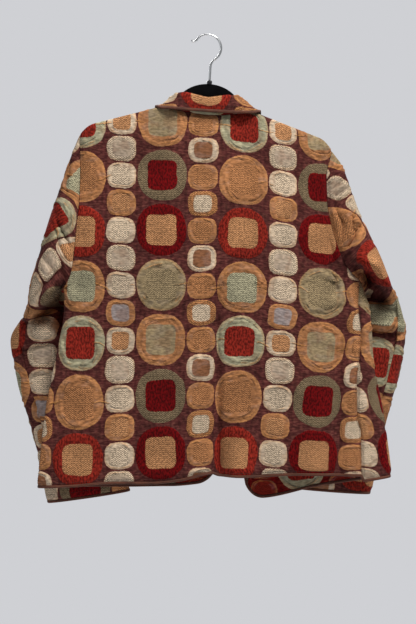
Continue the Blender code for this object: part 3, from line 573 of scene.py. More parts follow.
# The heights at the shoulder and the rings at the elbow between which one grain gives way to the
# next, and how far the front half of a sleeve is out of step with the back half at their seam
SHOULDER_HEIGHTS = (-0.245, -0.280)
ELBOW_RINGS = (4.7, 5.5)
FRONT_OUT_OF_STEP = {-1: (-0.004, -0.004), 1: (-0.032, -0.008)}

# Stage: where each light stands, its size and its colour
LIGHTS = {
    "key": ((2.0, -2.5, 5.0), 2.0, (1.0, 0.985, 0.96)),
    "fill": ((-2.2, -1.6, -0.2), 1.8, (0.94, 0.97, 1.0)),
    "front": ((-0.9, 3.4, 1.6), 2.0, (1.0, 0.985, 0.96)),
}
FLOOR_RADIUS = 3.2
FLOOR_POINTS = 96
VIEW_ENDS = 50.0

# Yarns as seen in soft light: red, green and blue from 0 to 255, and where they go
YARNS = {
    "plum": ((83, 39, 37), "Ground between the motifs"),
    "mulberry": ((110, 62, 54), "Lighter streaks of the ground"),
    "crimson": ((98, 6, 8), "Deep red pile"),
    "rust": ((132, 36, 25), "Rust red pile"),
    "tan": ((193, 138, 94), "Golden grain"),
    "orange": ((180, 123, 80), "Orange rings and discs"),
    "copper": ((144, 96, 66), "Brown middles"),
    "grey_green": ((129, 110, 84), "Grey green rings"),
    "pale_green": ((174, 167, 136), "Pale green rings and squares"),
    "olive": ((161, 140, 106), "Plain olive discs and squares"),
    "cream": ((214, 191, 163), "Pale small motifs"),
    "oyster": ((194, 172, 148), "Shaded middles of pale motifs"),
    "lilac": ((160, 146, 142), "Grey lilac squares"),
    # Gold also paints the highlight on the crests of the rim puckers and along the lit rim edges.
    "gold": ((214, 148, 84), "Floating yarns along the puckers"),
    "tape": ((93, 49, 30), "Bound edges"),
    "thread": ((52, 36, 28), "Sewing thread"),
}


def linear(colour):
    """Scene-linear colour of display values from 0 to 255, by the standard display curve."""
    shares = [value / 255 for value in colour]
    return tuple(s / 12.92 if s <= 0.04045 else ((s + 0.055) / 1.055) ** 2.4 for s in shares)


class JacketYarns(bpy.types.PropertyGroup):
    """Colours of the yarns."""

    __annotations__ = {
        yarn: bpy.props.FloatVectorProperty(
            name=yarn.replace("_", " ").capitalize(),
            description=use,
            subtype="COLOR",
            default=linear(colour),
            min=0.0,
            max=1.0,
        )
        for yarn, (colour, use) in YARNS.items()
    }


def measure(name, use, default, unit="LENGTH"):
    """A property that holds one measure."""
    return bpy.props.FloatProperty(name=name, description=use, default=default, unit=unit)


class JacketCloth(bpy.types.PropertyGroup):
    """Sizes of the cloth."""

    wall: measure("Wall", "Thickness of the cloth", CLOTH_WALL)
    loft: measure("Loft", "Rise of the cloth beside a seam", 0.0012)
    puff: measure("Puff", "Rise of a disc above the ground", 0.0012)
    wrinkle: measure("Wrinkle", "Height of the puckers in a ring", 0.0013)
    ripple: measure("Ripple", "Height of the ground's ripples", 0.0007)
    roll: measure("Roll", "Height of the broad unevenness", 0.0020)


class JacketSewing(bpy.types.PropertyGroup):
    """Sizes of the stitches and bound edges."""

    pitch: measure("Pitch", "From one stitch to the next", 0.0038)
    length: measure("Length", "Length of a stitch", 0.0029)
    thickness: measure("Thickness", "Thickness of the thread", 0.0007)
    tape: measure("Tape", "Radius of a bound edge", TAPE_RADIUS)


class JacketStage(bpy.types.PropertyGroup):
    """Camera, light and floor."""

    distance: measure("Distance", "From the camera to the hanger", 2.6)
    lens: bpy.props.FloatProperty(
        name="Lens",
        description="Focal length in millimetres",
        default=92.0,
        subtype="DISTANCE_CAMERA",
    )
    middle: bpy.props.FloatVectorProperty(
        name="Middle",
        description="Middle of the view",
        default=(0.0008, 0.0, -0.4507),
        subtype="XYZ",
    )
    floor_drop: measure("Floor drop", "From the hook down to the floor", 1.90)
    key: measure("Key", "Power of the light from the right", 445.0, "POWER")
    fill: measure("Fill", "Power of the light from the left", 6.0, "POWER")
    front: measure("Front", "Power of the light on the hidden side", 150.0, "POWER")
    around: bpy.props.FloatProperty(
        name="Around", description="Light from all round", default=0.18, min=0.0
    )
    pale: bpy.props.FloatVectorProperty(
        name="Pale",
        description="Colour of the room",
        subtype="COLOR",
        default=linear((207, 208, 212)),
    )


def curve(xs, ys, x):
    """A smooth curve through table points that never overshoots them."""
    x = np.clip(x, xs[0], xs[-1])
    steps = np.diff(xs)
    slopes = np.diff(ys) / steps
    turns = slopes[1:] * slopes[:-1]
    total = np.where(turns > 0, slopes[1:] + slopes[:-1], 1.0)
    tangents = np.concatenate(
        ([slopes[0]], np.where(turns > 0, 2 * turns / total, 0.0), [slopes[-1]])
    )
    i = np.clip(np.searchsorted(xs, x) - 1, 0, len(steps) - 1)
    t = (x - xs[i]) / steps[i]
    return (
        ys[i] * (1 + 2 * t) * (1 - t) ** 2
        + ys[i + 1] * t * t * (3 - 2 * t)
        + steps[i] * t * (1 - t) * (tangents[i] * (1 - t) - tangents[i + 1] * t)
    )


def ease(t):
    """Zero to one with flat ends."""
    t = np.clip(t, 0.0, 1.0)
    return t * t * (3 - 2 * t)


def between(value, start, end):
    """Zero at one value and one at another, with flat ends."""
    return ease((value - start) / (end - start))


def quarter(t):
    """Rise of a quarter ellipse."""
    return np.sqrt(1 - (1 - np.clip(t, 0.0, 1.0)) ** 2)


def unit(vectors):
    """Vectors brought to length one."""
    return vectors / np.maximum(np.linalg.norm(vectors, axis=-1, keepdims=True), 1e-12)


def run_length(points, axis):
    """Distance along each line of a grid, from its first point."""
    steps = np.linalg.norm(np.diff(points, axis=axis), axis=-1)
    start = np.zeros_like(np.take(steps, [0], axis=axis))
    return np.concatenate((start, np.cumsum(steps, axis=axis)), axis=axis)


def value_noise(x, y, seed, size=64):
    """Smooth noise from -1 to 1 that is the same at each run."""
    lattice = np.random.default_rng(SEED + seed).random((size, size))
    i, j = np.floor(x).astype(int), np.floor(y).astype(int)
    s, t = ease(x - i), ease(y - j)

    def at(a, b):
        return lattice[np.mod(a, size), np.mod(b, size)]

    near = at(i, j) * (1 - s) + at(i + 1, j) * s
    far = at(i, j + 1) * (1 - s) + at(i + 1, j + 1) * s
    return 2 * (near * (1 - t) + far * t) - 1


def leaned(along, up):
    """World x and z of a place on the leaning hanger."""
    return (
        along * math.cos(LEAN) + up * math.sin(LEAN),
        up * math.cos(LEAN) - along * math.sin(LEAN),
    )


def ridge_up(along):
    """Height of the shoulder's ridge in the hanger's frame."""
    away = np.clip(np.abs(along - HANGER_CENTRE), NECK_HALF, TIP_HALF)
    past = np.maximum(away - TIP_STARTS, 0.0)
    return NECK_POINT_HEIGHT - SHOULDER_SLOPE * (away - NECK_HALF) - TIP_CURVE * past**2


def ridge_z(x):
    """World height of the shoulder's ridge above a world x."""
    along = x
    for _ in range(SETTLING_ROUNDS):
        along = (x - ridge_up(along) * math.sin(LEAN)) / math.cos(LEAN)
    return leaned(along, ridge_up(along))[1]


def edges(z):
    """Left and right edge of the flattened body ring."""
    return tuple(curve(BODY_RING["drop"], BODY_RING[side], -z) for side in SIDES.values())


def turn_of(x, z, side):
    """Quarter turns round the body ring for a place on the back (-1) or the fronts (1)."""
    left, right = edges(z)
    across = np.clip((2 * x - left - right) / (right - left), -1.0, 1.0)
    turn = np.arcsin(across) * 2 / math.pi
    return turn if side < 0 else 2 - turn


def fold_depth(x, z, facing):
    """How far the lengthwise folds press the cloth in."""
    pressed = np.zeros_like(x)
    for fold in rows_of(BODY_FOLDS):
        t = (fold["z_top"] - z) / (fold["z_top"] - fold["z_foot"])
        line = fold["x_top"] + (fold["x_foot"] - fold["x_top"]) * np.clip(t, 0.0, 1.0)
        shape = np.exp(-(((x - line) / fold["width"]) ** 2))
        pressed += fold["depth"] * shape * ease(t) * (facing * fold["side"] < 0)
    return pressed * np.minimum(np.abs(facing) / FOLD_FADE, 1.0)


def crease_depth(grid, creases):
    """How far the creases press the cloth in, seen from behind."""
    x, z = grid[..., 0], grid[..., 2]
    pressed = np.zeros_like(x)
    for crease in rows_of(creases):
        run_x, run_z = crease["x_to"] - crease["x_from"], crease["z_to"] - crease["z_from"]
        length = math.hypot(run_x, run_z)
        off_x, off_z = x - crease["x_from"], z - crease["z_from"]
        along = (off_x * run_x + off_z * run_z) / length
        below = (off_x * run_z - off_z * run_x) / length
        past = np.maximum(np.maximum(-along, along - length), 0.0)
        reach = np.where(below > 0, crease["below"], crease["above"])
        shape = np.exp(-((below / reach) ** 2) - (past / CREASE_END) ** 2)
        pressed += crease["depth"] * shape
    return pressed


def seam_puckers(grid):
    """How far the right side seam draws the cloth in beside it."""
    x, y, z = (grid[..., k] for k in range(3))
    off = x - curve(SEAM_WANDER["drop"], SEAM_WANDER["x"], -z)
    gathers = value_noise(z / SEAM_PUCKER_PITCH, np.zeros_like(z), PUCKER_SEED)
    pressed = SEAM_PUCKER * gathers * np.exp(-((off / SEAM_PUCKER_REACH) ** 2))
    pressed += SEAM_GROOVE * np.exp(-((off / SEAM_GROOVE_REACH) ** 2))
    return pressed * ease((UNDERARM[1] - z) / SEAM_PUCKER_REACH) * (y < 0)


def body_point(turn, z):
    """Outer surface of the body ring."""
    left, right = edges(z)
    facing = np.cos(turn * math.pi / 2)
    x = (left + right) / 2 + (right - left) / 2 * np.sin(turn * math.pi / 2)
    below = np.maximum(ridge_z(x) - z, 0.0)
    swell = np.sin(np.clip(below / SWELL_DROP, 0.0, 1.0) * math.pi / 2) ** SWELL_POWER
    arch = ARCH_WIDTH * quarter(below / ARCH_DROP) * (1 - ease(below / ARCH_FADE))
    back = curve(BODY_RING["drop"], BODY_RING["back"], -z)
    front = curve(BODY_RING["drop"], BODY_RING["front"], -z)
    stand = np.where(facing > 0, back, front) * swell * np.abs(facing) ** FULLNESS
    out = arch + stand - fold_depth(x, z, facing) * swell
    return np.stack((x, np.where(facing > 0, -out, out), z), axis=-1)


def spread(stops, counts):
    """Values spread evenly from one stop to the next."""
    runs = [np.linspace(a, b, n + 1)[:-1] for a, b, n in zip(stops, stops[1:], counts)]
    return np.append(np.concatenate(runs), stops[-1])


def spaced(count):
    """Shares of a run, close together at both ends."""
    return (1 - np.cos(np.linspace(0, math.pi, count + 1))) / 2


def armhole(side, front, share):
    """Turn and height down an armhole."""
    x = curve(ARMHOLE["share"], ARMHOLE[SIDES[side]], share)
    tip = ridge_z(x[:1])[0]
    z = tip + (UNDERARM[side] - tip) * share
    if front:
        x = x - side * FRONT_SCOOP * np.sin(math.pi * share)
    return turn_of(x, z, 1 if front else -1), z


def side_seam(side, hem):
    """Turn and height down a side seam below the underarm."""
    z = np.linspace(UNDERARM[side], hem, SIDE_ROWS + 1)[1:]
    if side < 0:
        return np.full_like(z, -1.0), z
    return turn_of(curve(SEAM_WANDER["drop"], SEAM_WANDER["x"], -z), z, -1), z


def front_edge(side, hem):
    """Turn and height down a front's free edge."""
    top_x, top_z = leaned(
        HANGER_CENTRE + side * FRONT_TOP_INSET, NECK_POINT_HEIGHT - FRONT_TOP_DROP
    )
    z = spread((top_z, FRONT_MIDDLE, hem + FRONT_CORNER), (ARMHOLE_ROWS, SIDE_ROWS))
    x = top_x + (FRONT_FOOT[side] - top_x) * (top_z - z) / (top_z - z[-1])
    return turn_of(x, z, 1), z


def neck_point(side):
    """World x and z of the neck's end of a shoulder."""
    x, z = leaned(HANGER_CENTRE + side * NECK_HALF, NECK_POINT_HEIGHT)
    return np.array(x), np.array(z)


def settle(turn, z, height_at):
    """Heights that agree with the x they give on the ring."""
    for _ in range(SETTLING_ROUNDS):
        z = height_at(body_point(turn, z)[..., 0])
    return z


def spread_rows(near, far, shares, top, hem):
    """Points and turns between two boundaries that carry the shape of the top and the hem."""
    (near_turn, near_z), (far_turn, far_z) = near, far
    turn = near_turn[:, None] * (1 - shares) + far_turn[:, None] * shares
    line = near_z[:, None] * (1 - shares) + far_z[:, None] * shares
    waist = near_z[ARMHOLE_ROWS]
    above = np.clip((near_z - waist) / (near_z[0] - waist), 0.0, 1.0)[:, None]
    below = np.clip((near_z - waist) / (near_z[-1] - waist), 0.0, 1.0)[:, None]
    z = line + above * (top - line[0]) + below * (hem - line[-1])
    return body_point(turn, z), turn


def joined(upper, lower):
    """Turns and heights of one boundary after another."""
    return tuple(np.concatenate(pair) for pair in zip(upper, lower))


def back_grid():
    """Points and turns of the back."""
    share = np.linspace(0.0, 1.0, ARMHOLE_ROWS + 1)
    left = joined(armhole(-1, False, share), side_seam(-1, BACK_HEM["z"][0]))
    right = joined(armhole(1, False, share), side_seam(1, BACK_HEM["z"][-1]))
    (left_x, left_z), (right_x, right_z) = neck_point(-1), neck_point(1)
    neck = (float(turn_of(left_x, left_z, -1)), float(turn_of(right_x, right_z, -1)))
    columns = (SHOULDER_COLUMNS, BACK_NECK_COLUMNS, SHOULDER_COLUMNS)
    turn = spread((left[0][0], *neck, right[0][0]), columns)
    shares = (turn - turn[0]) / (turn[-1] - turn[0])

    def top_at(x):
        t = np.clip((x - left_x) / (right_x - left_x), 0.0, 1.0)
        within = (t > 0) & (t < 1)
        dip = BACK_NECK_DIP * np.sqrt(np.sin(math.pi * t))
        neckline = left_z + (right_z - left_z) * t - dip
        return np.where(within, neckline, ridge_z(x))

    top = settle(turn, ridge_z(body_point(turn, np.full_like(turn, NEAR_TOP))[:, 0]), top_at)
    low = left[0][-1] + (right[0][-1] - left[0][-1]) * shares
    hem = settle(low, np.full_like(low, NEAR_HEM), partial(curve, BACK_HEM["x"], BACK_HEM["z"]))
    return spread_rows(left, right, shares, top, hem)


def front_grid(side):
    """Points and turns of a front."""
    hems = FRONT_HEM[side]
    share = np.linspace(0.0, 1.0, ARMHOLE_ROWS + 1)
    seam = side_seam(side, BACK_HEM["z"][0 if side < 0 else -1])
    if side < 0:
        seam = (seam[0] + FULL_TURN, seam[1])
    near = joined(armhole(side, True, share), seam)
    foot_z = float(curve(hems["x"], hems["z"], np.array(FRONT_FOOT[side])))
    far = front_edge(side, foot_z)
    neck_x, neck_z = neck_point(side)
    neck_turn = float(turn_of(neck_x, neck_z, 1))
    turn = spread((near[0][0], neck_turn, far[0][0]), (SHOULDER_COLUMNS, FRONT_NECK_COLUMNS))
    shares = (turn - turn[0]) / (turn[-1] - turn[0])
    along_neck = np.clip((turn - neck_turn) / (far[0][0] - neck_turn), 0.0, 1.0)
    neckline = neck_z + (far[1][0] - neck_z) * along_neck**FRONT_NECK_POWER
    shoulder = settle(turn, np.full_like(turn, NEAR_TOP), ridge_z)
    top = np.where(along_neck > 0, neckline, shoulder)
    low = near[0][-1] + (far[0][-1] - near[0][-1]) * shares

    def hem_at(x):
        away = np.clip(np.abs(x - FRONT_FOOT[side]) / FRONT_CORNER, 0.0, 1.0)
        rounded = FRONT_CORNER * (1 - quarter(away))
        return curve(hems["x"], hems["z"], x) + rounded

    hem = settle(low, np.full_like(low, NEAR_HEM), hem_at)
    hem[-1] = far[1][-1]
    hem[0] = near[1][-1]
    return spread_rows(near, far, shares, top, hem)


def grid_normals(points, inside, wraps=False):
    """Unit normals of a grid, each the mean of the faces round it, turned towards the inside."""
    if wraps:
        points = np.concatenate((points, points[:, :1]), axis=1)
    diagonal = points[1:, 1:] - points[:-1, :-1]
    other = points[1:, :-1] - points[:-1, 1:]
    faces = unit(np.cross(diagonal, other))
    if wraps:
        faces = np.concatenate((faces[:, -1:], faces), axis=1)
    else:
        faces = np.concatenate((faces[:, :1], faces, faces[:, -1:]), axis=1)
    faces = np.concatenate((faces[:1], faces, faces[-1:]), axis=0)
    normals = faces[1:, 1:] + faces[:-1, 1:] + faces[1:, :-1] + faces[:-1, :-1]
    towards = (normals * (inside - points[:, : normals.shape[1]])).sum()
    return unit(normals) * np.sign(towards)


def slide(line, neighbour, distance):
    """A seam line moved towards its neighbour."""
    return line + unit(neighbour - line) * distance


def outline(across, down, shape):
    """Distance from a motif's middle, one on its outline."""
    half_width, half_height, power = shape
    spread = np.abs(across / half_width) ** power + np.abs(down / half_height) ** power
    return spread ** (1 / power)


def nearest(u, v, lane):
    """Distance from the middle of the nearest motif of a lane, and its place on the chart."""
    index = np.floor(u / LANE + lane["offset"])
    kind = np.mod(index, 2)
    raised = v + lane["lift"] + lane["step"] * kind
    row = np.floor(raised / lane["pitch"] + 0.5)
    across = u - (index + 0.5 - lane["offset"]) * LANE
    place = kind * lane["cycle"] + np.mod(row, lane["cycle"])
    return outline(across, raised - row * lane["pitch"], lane["outline"]), place.astype(int)


def relief(chart, seed):
    """Rise of the figured cloth above its even surface."""
    cloth = bpy.context.scene.jacket_cloth
    u, v = chart[..., 0], chart[..., 1]
    disc, place = nearest(u, v, DISC_LANE)
    small, _ = nearest(u, v, SMALL_LANE)
    puckered = np.array([ring_weave == SMOOTH for _, ring_weave, _, _ in DISC_CHART], float)

    def uneven(across, down, step):
        return value_noise(u / across, v / down, seed + step)

    sway, breaks = PUCKER_SWAY * uneven(*COARSE), PUCKER_BREAKS * uneven(*FINE)

    def puckers(distance, lane, pitch, band):
        starts, full, thins, ends = band
        waves = np.sin(2 * math.pi * distance * lane["outline"][0] / pitch + sway) + breaks
        return waves * between(distance, starts, full) * between(distance, ends, thins)

    inside = np.maximum(between(disc, *DISC_PUFF), between(small, *SMALL_PUFF))
    rings = puckered[place] * puckers(disc, DISC_LANE, DISC_PUCKER, DISC_BAND)
    rings += SMALL_PUCKER_SHARE * puckers(small, SMALL_LANE, SMALL_PUCKER, SMALL_BAND)
    height = cloth.puff * inside + cloth.wrinkle * rings / PUCKER_PEAK
    height += cloth.ripple * uneven(*RIPPLE) * (1 - inside)
    return height + cloth.roll * uneven(*ROLL)


def border_fade(grid, reach):
    """One inside a grid, falling to zero at its border."""
    down, across = run_length(grid, 0), run_length(grid, 1)
    high = np.minimum(down, down[-1:] - down)
    wide = np.minimum(across, across[:, -1:] - across)
    return ease(np.minimum(high, wide) / reach)


class Wall:
    """One cut piece: its outer and inner points, inward normals and place on the repeat."""

    def __init__(self, base, inward, chart, height):
        self.base = base
        self.inward = inward
        self.chart = chart
        self.outer = base - inward * height[..., None]
        self.inner = base + inward * bpy.context.scene.jacket_cloth.wall

    def cut(self):
        """Width, length and area of the piece laid flat."""
        width = run_length(self.base, 1)[:, -1].max()
        length = run_length(self.base, 0)[-1].max()
        across = self.base[1:, 1:] - self.base[:-1, :-1]
        other = self.base[1:, :-1] - self.base[:-1, 1:]
        area = np.linalg.norm(np.cross(across, other), axis=-1).sum() / 2
        return width, length, area

    def line(self, rows, columns, lift):
        """A line of points laid just above the cloth."""
        return self.outer[rows, columns] - self.inward[rows, columns] * lift


def figured(base, inward, chart, seed):
    """A wall with the raised figure of its weave, flat at its borders."""
    loft = bpy.context.scene.jacket_cloth.loft
    height = (relief(chart, seed) + loft) * border_fade(base, RELIEF_FADE)
    return Wall(base, inward, chart, height)


def level_chart(grid):
    """Place of each point of the back on the repeat, from the heights of its rows of discs."""
    run = run_length(grid, 1)
    start = [np.interp(BACK_LANE_X, x, s) for x, s in zip(grid[..., 0], run)]
    u = run - np.array(start)[:, None] + LANE
    lanes = LANE * np.arange(len(LEVELS))
    drops = np.stack(list(LEVELS.values()), axis=-1)
    levels = [np.interp(u, lanes, drop) for drop in drops]
    last = len(levels) - 2
    v = np.zeros_like(u)
    for k in range(last + 1):
        t = (-grid[..., 2] - levels[k]) / (levels[k + 1] - levels[k])
        v += np.clip(t, -np.inf if k == 0 else 0.0, np.inf if k == last else 1.0) * ROW
    lane = np.clip(u / LANE, 0, len(lanes) - 1)
    for k, column in enumerate(SHIFTS.values()):
        share = np.clip(1 - np.abs(lane - k), 0.0, 1.0)
        u = u - share * np.interp(v / ROW, np.arange(len(column)), column)
    return np.stack((u, v), axis=-1)


def front_chart(grid, turn, side):
    """Place of each point of a front on the repeat, measured round from its side seam."""
    z, u_there, v_there = FRONT_MOTIF[side]
    run = run_length(grid, 1)
    target = 2 - side * (2 - FRONT_TURN)
    start = np.array([np.interp(side * target, side * t, s) for t, s in zip(turn, run)])
    row = np.argmin(np.abs(grid[:, 0, 2] - z))
    u = run - start[:, None] + start[row] + u_there
    sag = FRONT_SAG[side] * run / run[:, -1:]
    return np.stack((u, v_there + z - grid[..., 2] - sag), axis=-1)


def close_seams(grids, inward):
    """Brings the shoulder and side seams to their gap, and squares the walls there."""
    both = list(range(SHOULDER_COLUMNS + 1)) + list(range(-SHOULDER_COLUMNS - 1, 0))
    for name, sign in (("back", -1), ("front_left", 1), ("front_right", 1)):
        columns = both if name == "back" else both[: SHOULDER_COLUMNS + 1]
        grids[name][0, columns, 1] = sign * CLOTH_SEAM_GAP / 2
        inward[name][0, columns, 1] = 0.0
    for name, sign in (("back", -1), ("front_left", 1)):
        grids[name][ARMHOLE_ROWS:, 0, 1] = sign * CLOTH_SEAM_GAP / 2
        inward[name][ARMHOLE_ROWS:, 0, 1] = 0.0
    shared = inward["back"][ARMHOLE_ROWS:, -1] + inward["front_right"][ARMHOLE_ROWS:, 0]
    for name, here, there in (("back", -1, -2), ("front_right", 0, 1)):
        inward[name][ARMHOLE_ROWS:, here] = shared
        grid = grids[name]
        grid[ARMHOLE_ROWS:, here] = slide(
            grid[ARMHOLE_ROWS:, here], grid[ARMHOLE_ROWS:, there], CLOTH_SEAM_GAP / 2
        )


@cache
def body_walls():
    """Back and fronts."""
    made = {"back": back_grid(), "front_left": front_grid(-1), "front_right": front_grid(1)}
    grids = {name: grid for name, (grid, _) in made.items()}
    for name, grid in grids.items():
        creases, sign = (BACK_CREASES, 1.0) if name == "back" else (FRONT_CREASES, -1.0)
        sign = np.where(grid[..., 1] * sign < 0, sign, 0.0)
        pressed = crease_depth(grid, creases)
        grid[..., 1] += sign * pressed * border_fade(grid, CREASE_FADE)
        if name != "front_left":
            grid[..., 1] += seam_puckers(grid)
    middle = np.array([0.0, 0.0, BODY_MIDDLE])
    inward = {
        name: grid_normals(grid, middle + grid * [1.0, 0.0, 0.0]) for name, grid in grids.items()
    }
    close_seams(grids, inward)
    charts = {
        "back": level_chart(grids["back"]),
        "front_left": front_chart(*made["front_left"], -1),
        "front_right": front_chart(*made["front_right"], 1),
    }
    return {
        name: figured(grid, unit(inward[name]), charts[name], BODY_SEED_STEP * k)
        for k, (name, grid) in enumerate(grids.items())
    }


def armhole_loop(side):
    """Points round an armhole, down the back and up the front."""
    half = ARMHOLE_ROWS
    share = spaced(half)
    down = body_point(*armhole(side, False, share))
    up = body_point(*armhole(side, True, share))[half - 1 : 0 : -1]
    return np.concatenate((down, up))


def tuck_depth(side, ring, turn):
    """How far the tucks press a sleeve in."""
    pressed = np.zeros(np.broadcast(ring, turn).shape)
    for tuck in rows_of(SLEEVE_TUCKS):
        off = (turn - math.radians(tuck["turn"])) / math.radians(tuck["round"])
        shape = np.exp(-(((ring - tuck["ring"]) / tuck["along"]) ** 2) - off**2)
        pressed = pressed + tuck["depth"] * shape * (tuck["side"] == side)
    return pressed


def sleeve_grid(side):
    """Rings of a sleeve from the armhole to the cuff, before and after it is creased."""
    loop = armhole_loop(side)
    rows = SLEEVE[side]
    last = len(rows["back"]) - 1
    places = np.arange(last + 1.0)
    ring = np.linspace(0, last, SLEEVE_ROWS + 1)
    at = {name: curve(places, column, ring)[:, None] for name, column in rows.items()}
    points = len(loop)
    seam = SEAM_TURN * ease((ring - SEAM_TURNS_FROM) / SEAM_TURNS_OVER)[:, None]
    k = np.arange(points)[None, :]
    half = points // 2
    turn = np.where(
        k <= half,
        seam + (math.pi - seam) * k / half,
        math.pi + (math.pi + seam) * (k - half) / half,
    )
    facing = np.sin(turn)
    depth = np.where(facing > 0, at["back"], at["front"])
    swing = np.sign(facing) * np.abs(facing) ** RING_FULLNESS
    inner = (1 - np.cos(turn)) / 2
    grid = np.stack(
        [at["out_" + axis] + (at["in_" + axis] - at["out_" + axis]) * inner for axis in "xyz"],
        axis=-1,
    )
    grid[..., 1] += tuck_depth(side, ring[:, None], turn) - depth * swing
    near_underarm = np.clip(1 - np.abs(k[0] - half) / (UNDERARM_SHARE * points), 0.0, 1.0)
    head = loop + [side * HEAD_GAP, 0.0, 0.0]
    head[:, 2] += HEAD_GAP * near_underarm
    fade = np.clip(1 - ring / HEAD_BLEND_ROWS, 0.0, 1.0) ** 2
    grid = grid + (head - grid[0])[None] * fade[:, None, None]
    creased = grid.copy()
    thick = (at["back"] + at["front"]) * np.abs(swing)
    room = np.maximum(CREASE_DEEPEST * thick - 2 * CLOTH_WALL, 0.0)
    for creases, shown in ((SLEEVE_CREASES, facing), (SLEEVE_FRONT_CREASES, -facing)):
        pressed = np.minimum(crease_depth(grid, creases[side]), room)
        room = room - np.maximum(pressed, 0.0)
        pressed = pressed * np.sqrt(np.clip(shown, 0.0, 1.0)) * np.sign(facing)
        creased[..., 1] += pressed * ease(ring)[:, None]
    return grid, creased


def grain_chart(base, seam, side, motif):
    """Place of each point of a sleeve on the repeat, for one slant of the grain."""
    slant = math.radians(motif["slant"])
    down = np.array([side * math.sin(slant), 0.0, -math.cos(slant)])
    across = np.array([math.cos(slant), 0.0, side * math.sin(slant)])
    known = np.array([motif["x"], 0.0, motif["z"]])
    steps = np.diff(base, axis=1)
    steps = steps - (steps @ down)[..., None] * down
    width = np.linalg.norm(steps, axis=-1)
    run = np.concatenate((np.zeros((len(base), 1)), np.cumsum(width, axis=1)), axis=1)
    away = (base - known) @ across
    u = away[:, seam][:, None] - side * (run - run[:, seam][:, None])
    v = (base - known) @ down + side * motif["drop"] * away
    return np.stack((motif["u"] + motif["gather"] * u, motif["v"] + v), axis=-1)


def sleeve_charts(parts, side):
    """Place of each point of a sleeve's halves on the repeat."""
    ring = np.linspace(0, len(SLEEVE[side]["back"]) - 1, len(parts["back"]))
    below = between(ring, *ELBOW_RINGS)[:, None, None]
    shares = {}
    for part, base in parts.items():
        past = between(base[..., 2:], *SHOULDER_HEIGHTS)
        shares[part] = ((1 - past) * (1 - below), past * (1 - below), below)
    charts = {part: 0.0 for part in parts}
    for k, motif in enumerate(rows_of(SLEEVE_MOTIFS[side])):
        grains = {
            part: grain_chart(base, 0 if part == "back" else -1, side, motif)
            for part, base in parts.items()
        }
        off = np.hypot(parts["back"][..., 0] - motif["x"], parts["back"][..., 2] - motif["z"])
        spot = np.unravel_index(np.argmin(off), off.shape)
        slip = [motif["u"] - grains["back"][spot][0], 0.0]
        for part in parts:
            charts[part] = charts[part] + (grains[part] + slip) * shares[part][k]
    charts["front"] = charts["front"] + below * FRONT_OUT_OF_STEP[side]
    return charts


@cache
def sleeve_walls(side):
    """The two halves of a sleeve."""
    smooth, grid = sleeve_grid(side)
    inward = grid_normals(grid, grid.mean(axis=1, keepdims=True), wraps=True)
    towards_body = inward[0, :, 0] * side < 0
    inward[0, towards_body, 0] = 0.0
    inward = unit(inward)
    half = grid.shape[1] // 2
    closing = list(range(half, grid.shape[1])) + [0]
    columns = {"back": list(range(half + 1)), "front": closing}
    parts = {part: grid[:, these] for part, these in columns.items()}
    for base in parts.values():
        for here, there in ((0, 1), (-1, -2)):
            base[:, here] = slide(base[:, here], base[:, there], CLOTH_SEAM_GAP / 2)
    charts = sleeve_charts({part: smooth[:, these] for part, these in columns.items()}, side)
    seed = SLEEVE_SEED + SLEEVE_SIDE_STEP * side
    return {
        part: figured(base, inward[:, columns[part]], charts[part], seed + SLEEVE_PART_STEP * k)
        for k, (part, base) in enumerate(parts.items())
    }


def neck_line():
    """Points along the neck seam and the share of the way from a front end to the centre back."""
    walls = body_walls()
    neck = np.concatenate(
        (
            walls["front_left"].base[0, :SHOULDER_COLUMNS:-1],
            walls["back"].base[0, SHOULDER_COLUMNS:-SHOULDER_COLUMNS],
            walls["front_right"].base[0, SHOULDER_COLUMNS + 1 :],
        )
    )
    front = np.linspace(1.0, 0.0, FRONT_NECK_COLUMNS + 1)[:-1]
    back = np.linspace(0.0, 0.5, BACK_NECK_COLUMNS // 2 + 1)
    share = np.concatenate(
        (
            0.5 - np.arccos(1 - 2 * front) / (2 * math.pi),
            0.5 + np.arccos(1 - 2 * back) / math.pi,
        )
    )
    return neck, np.concatenate((share, share[-2::-1]))


def collar_axes(neck, share):
    """Outward and upward directions along the neckline."""
    reach = NECK_SMOOTHING // 2
    padded = np.pad(neck, ((reach, reach), (0, 0)), mode="edge")
    mean = np.ones(NECK_SMOOTHING) / NECK_SMOOTHING
    eased = np.stack([np.convolve(column, mean, "valid") for column in padded.T], axis=-1)
    plan = unit(np.gradient(eased * [1.0, 1.0, 0.0], axis=0))
    outward = np.stack((plan[:, 1], -plan[:, 0], np.zeros(len(plan))), axis=-1)
    outward *= np.sign(-outward[len(neck) // 2, 1])
    along = unit(np.gradient(eased, axis=0))
    lies_flat = ease((LIES_FLAT_FROM - share) / LIES_FLAT_OVER)[:, None]
    up = unit(np.array([0.0, 0.0, 1.0]) - along * along[:, 2:] * lies_flat)
    return unit(outward - up * (up * outward).sum(axis=-1, keepdims=True)), up


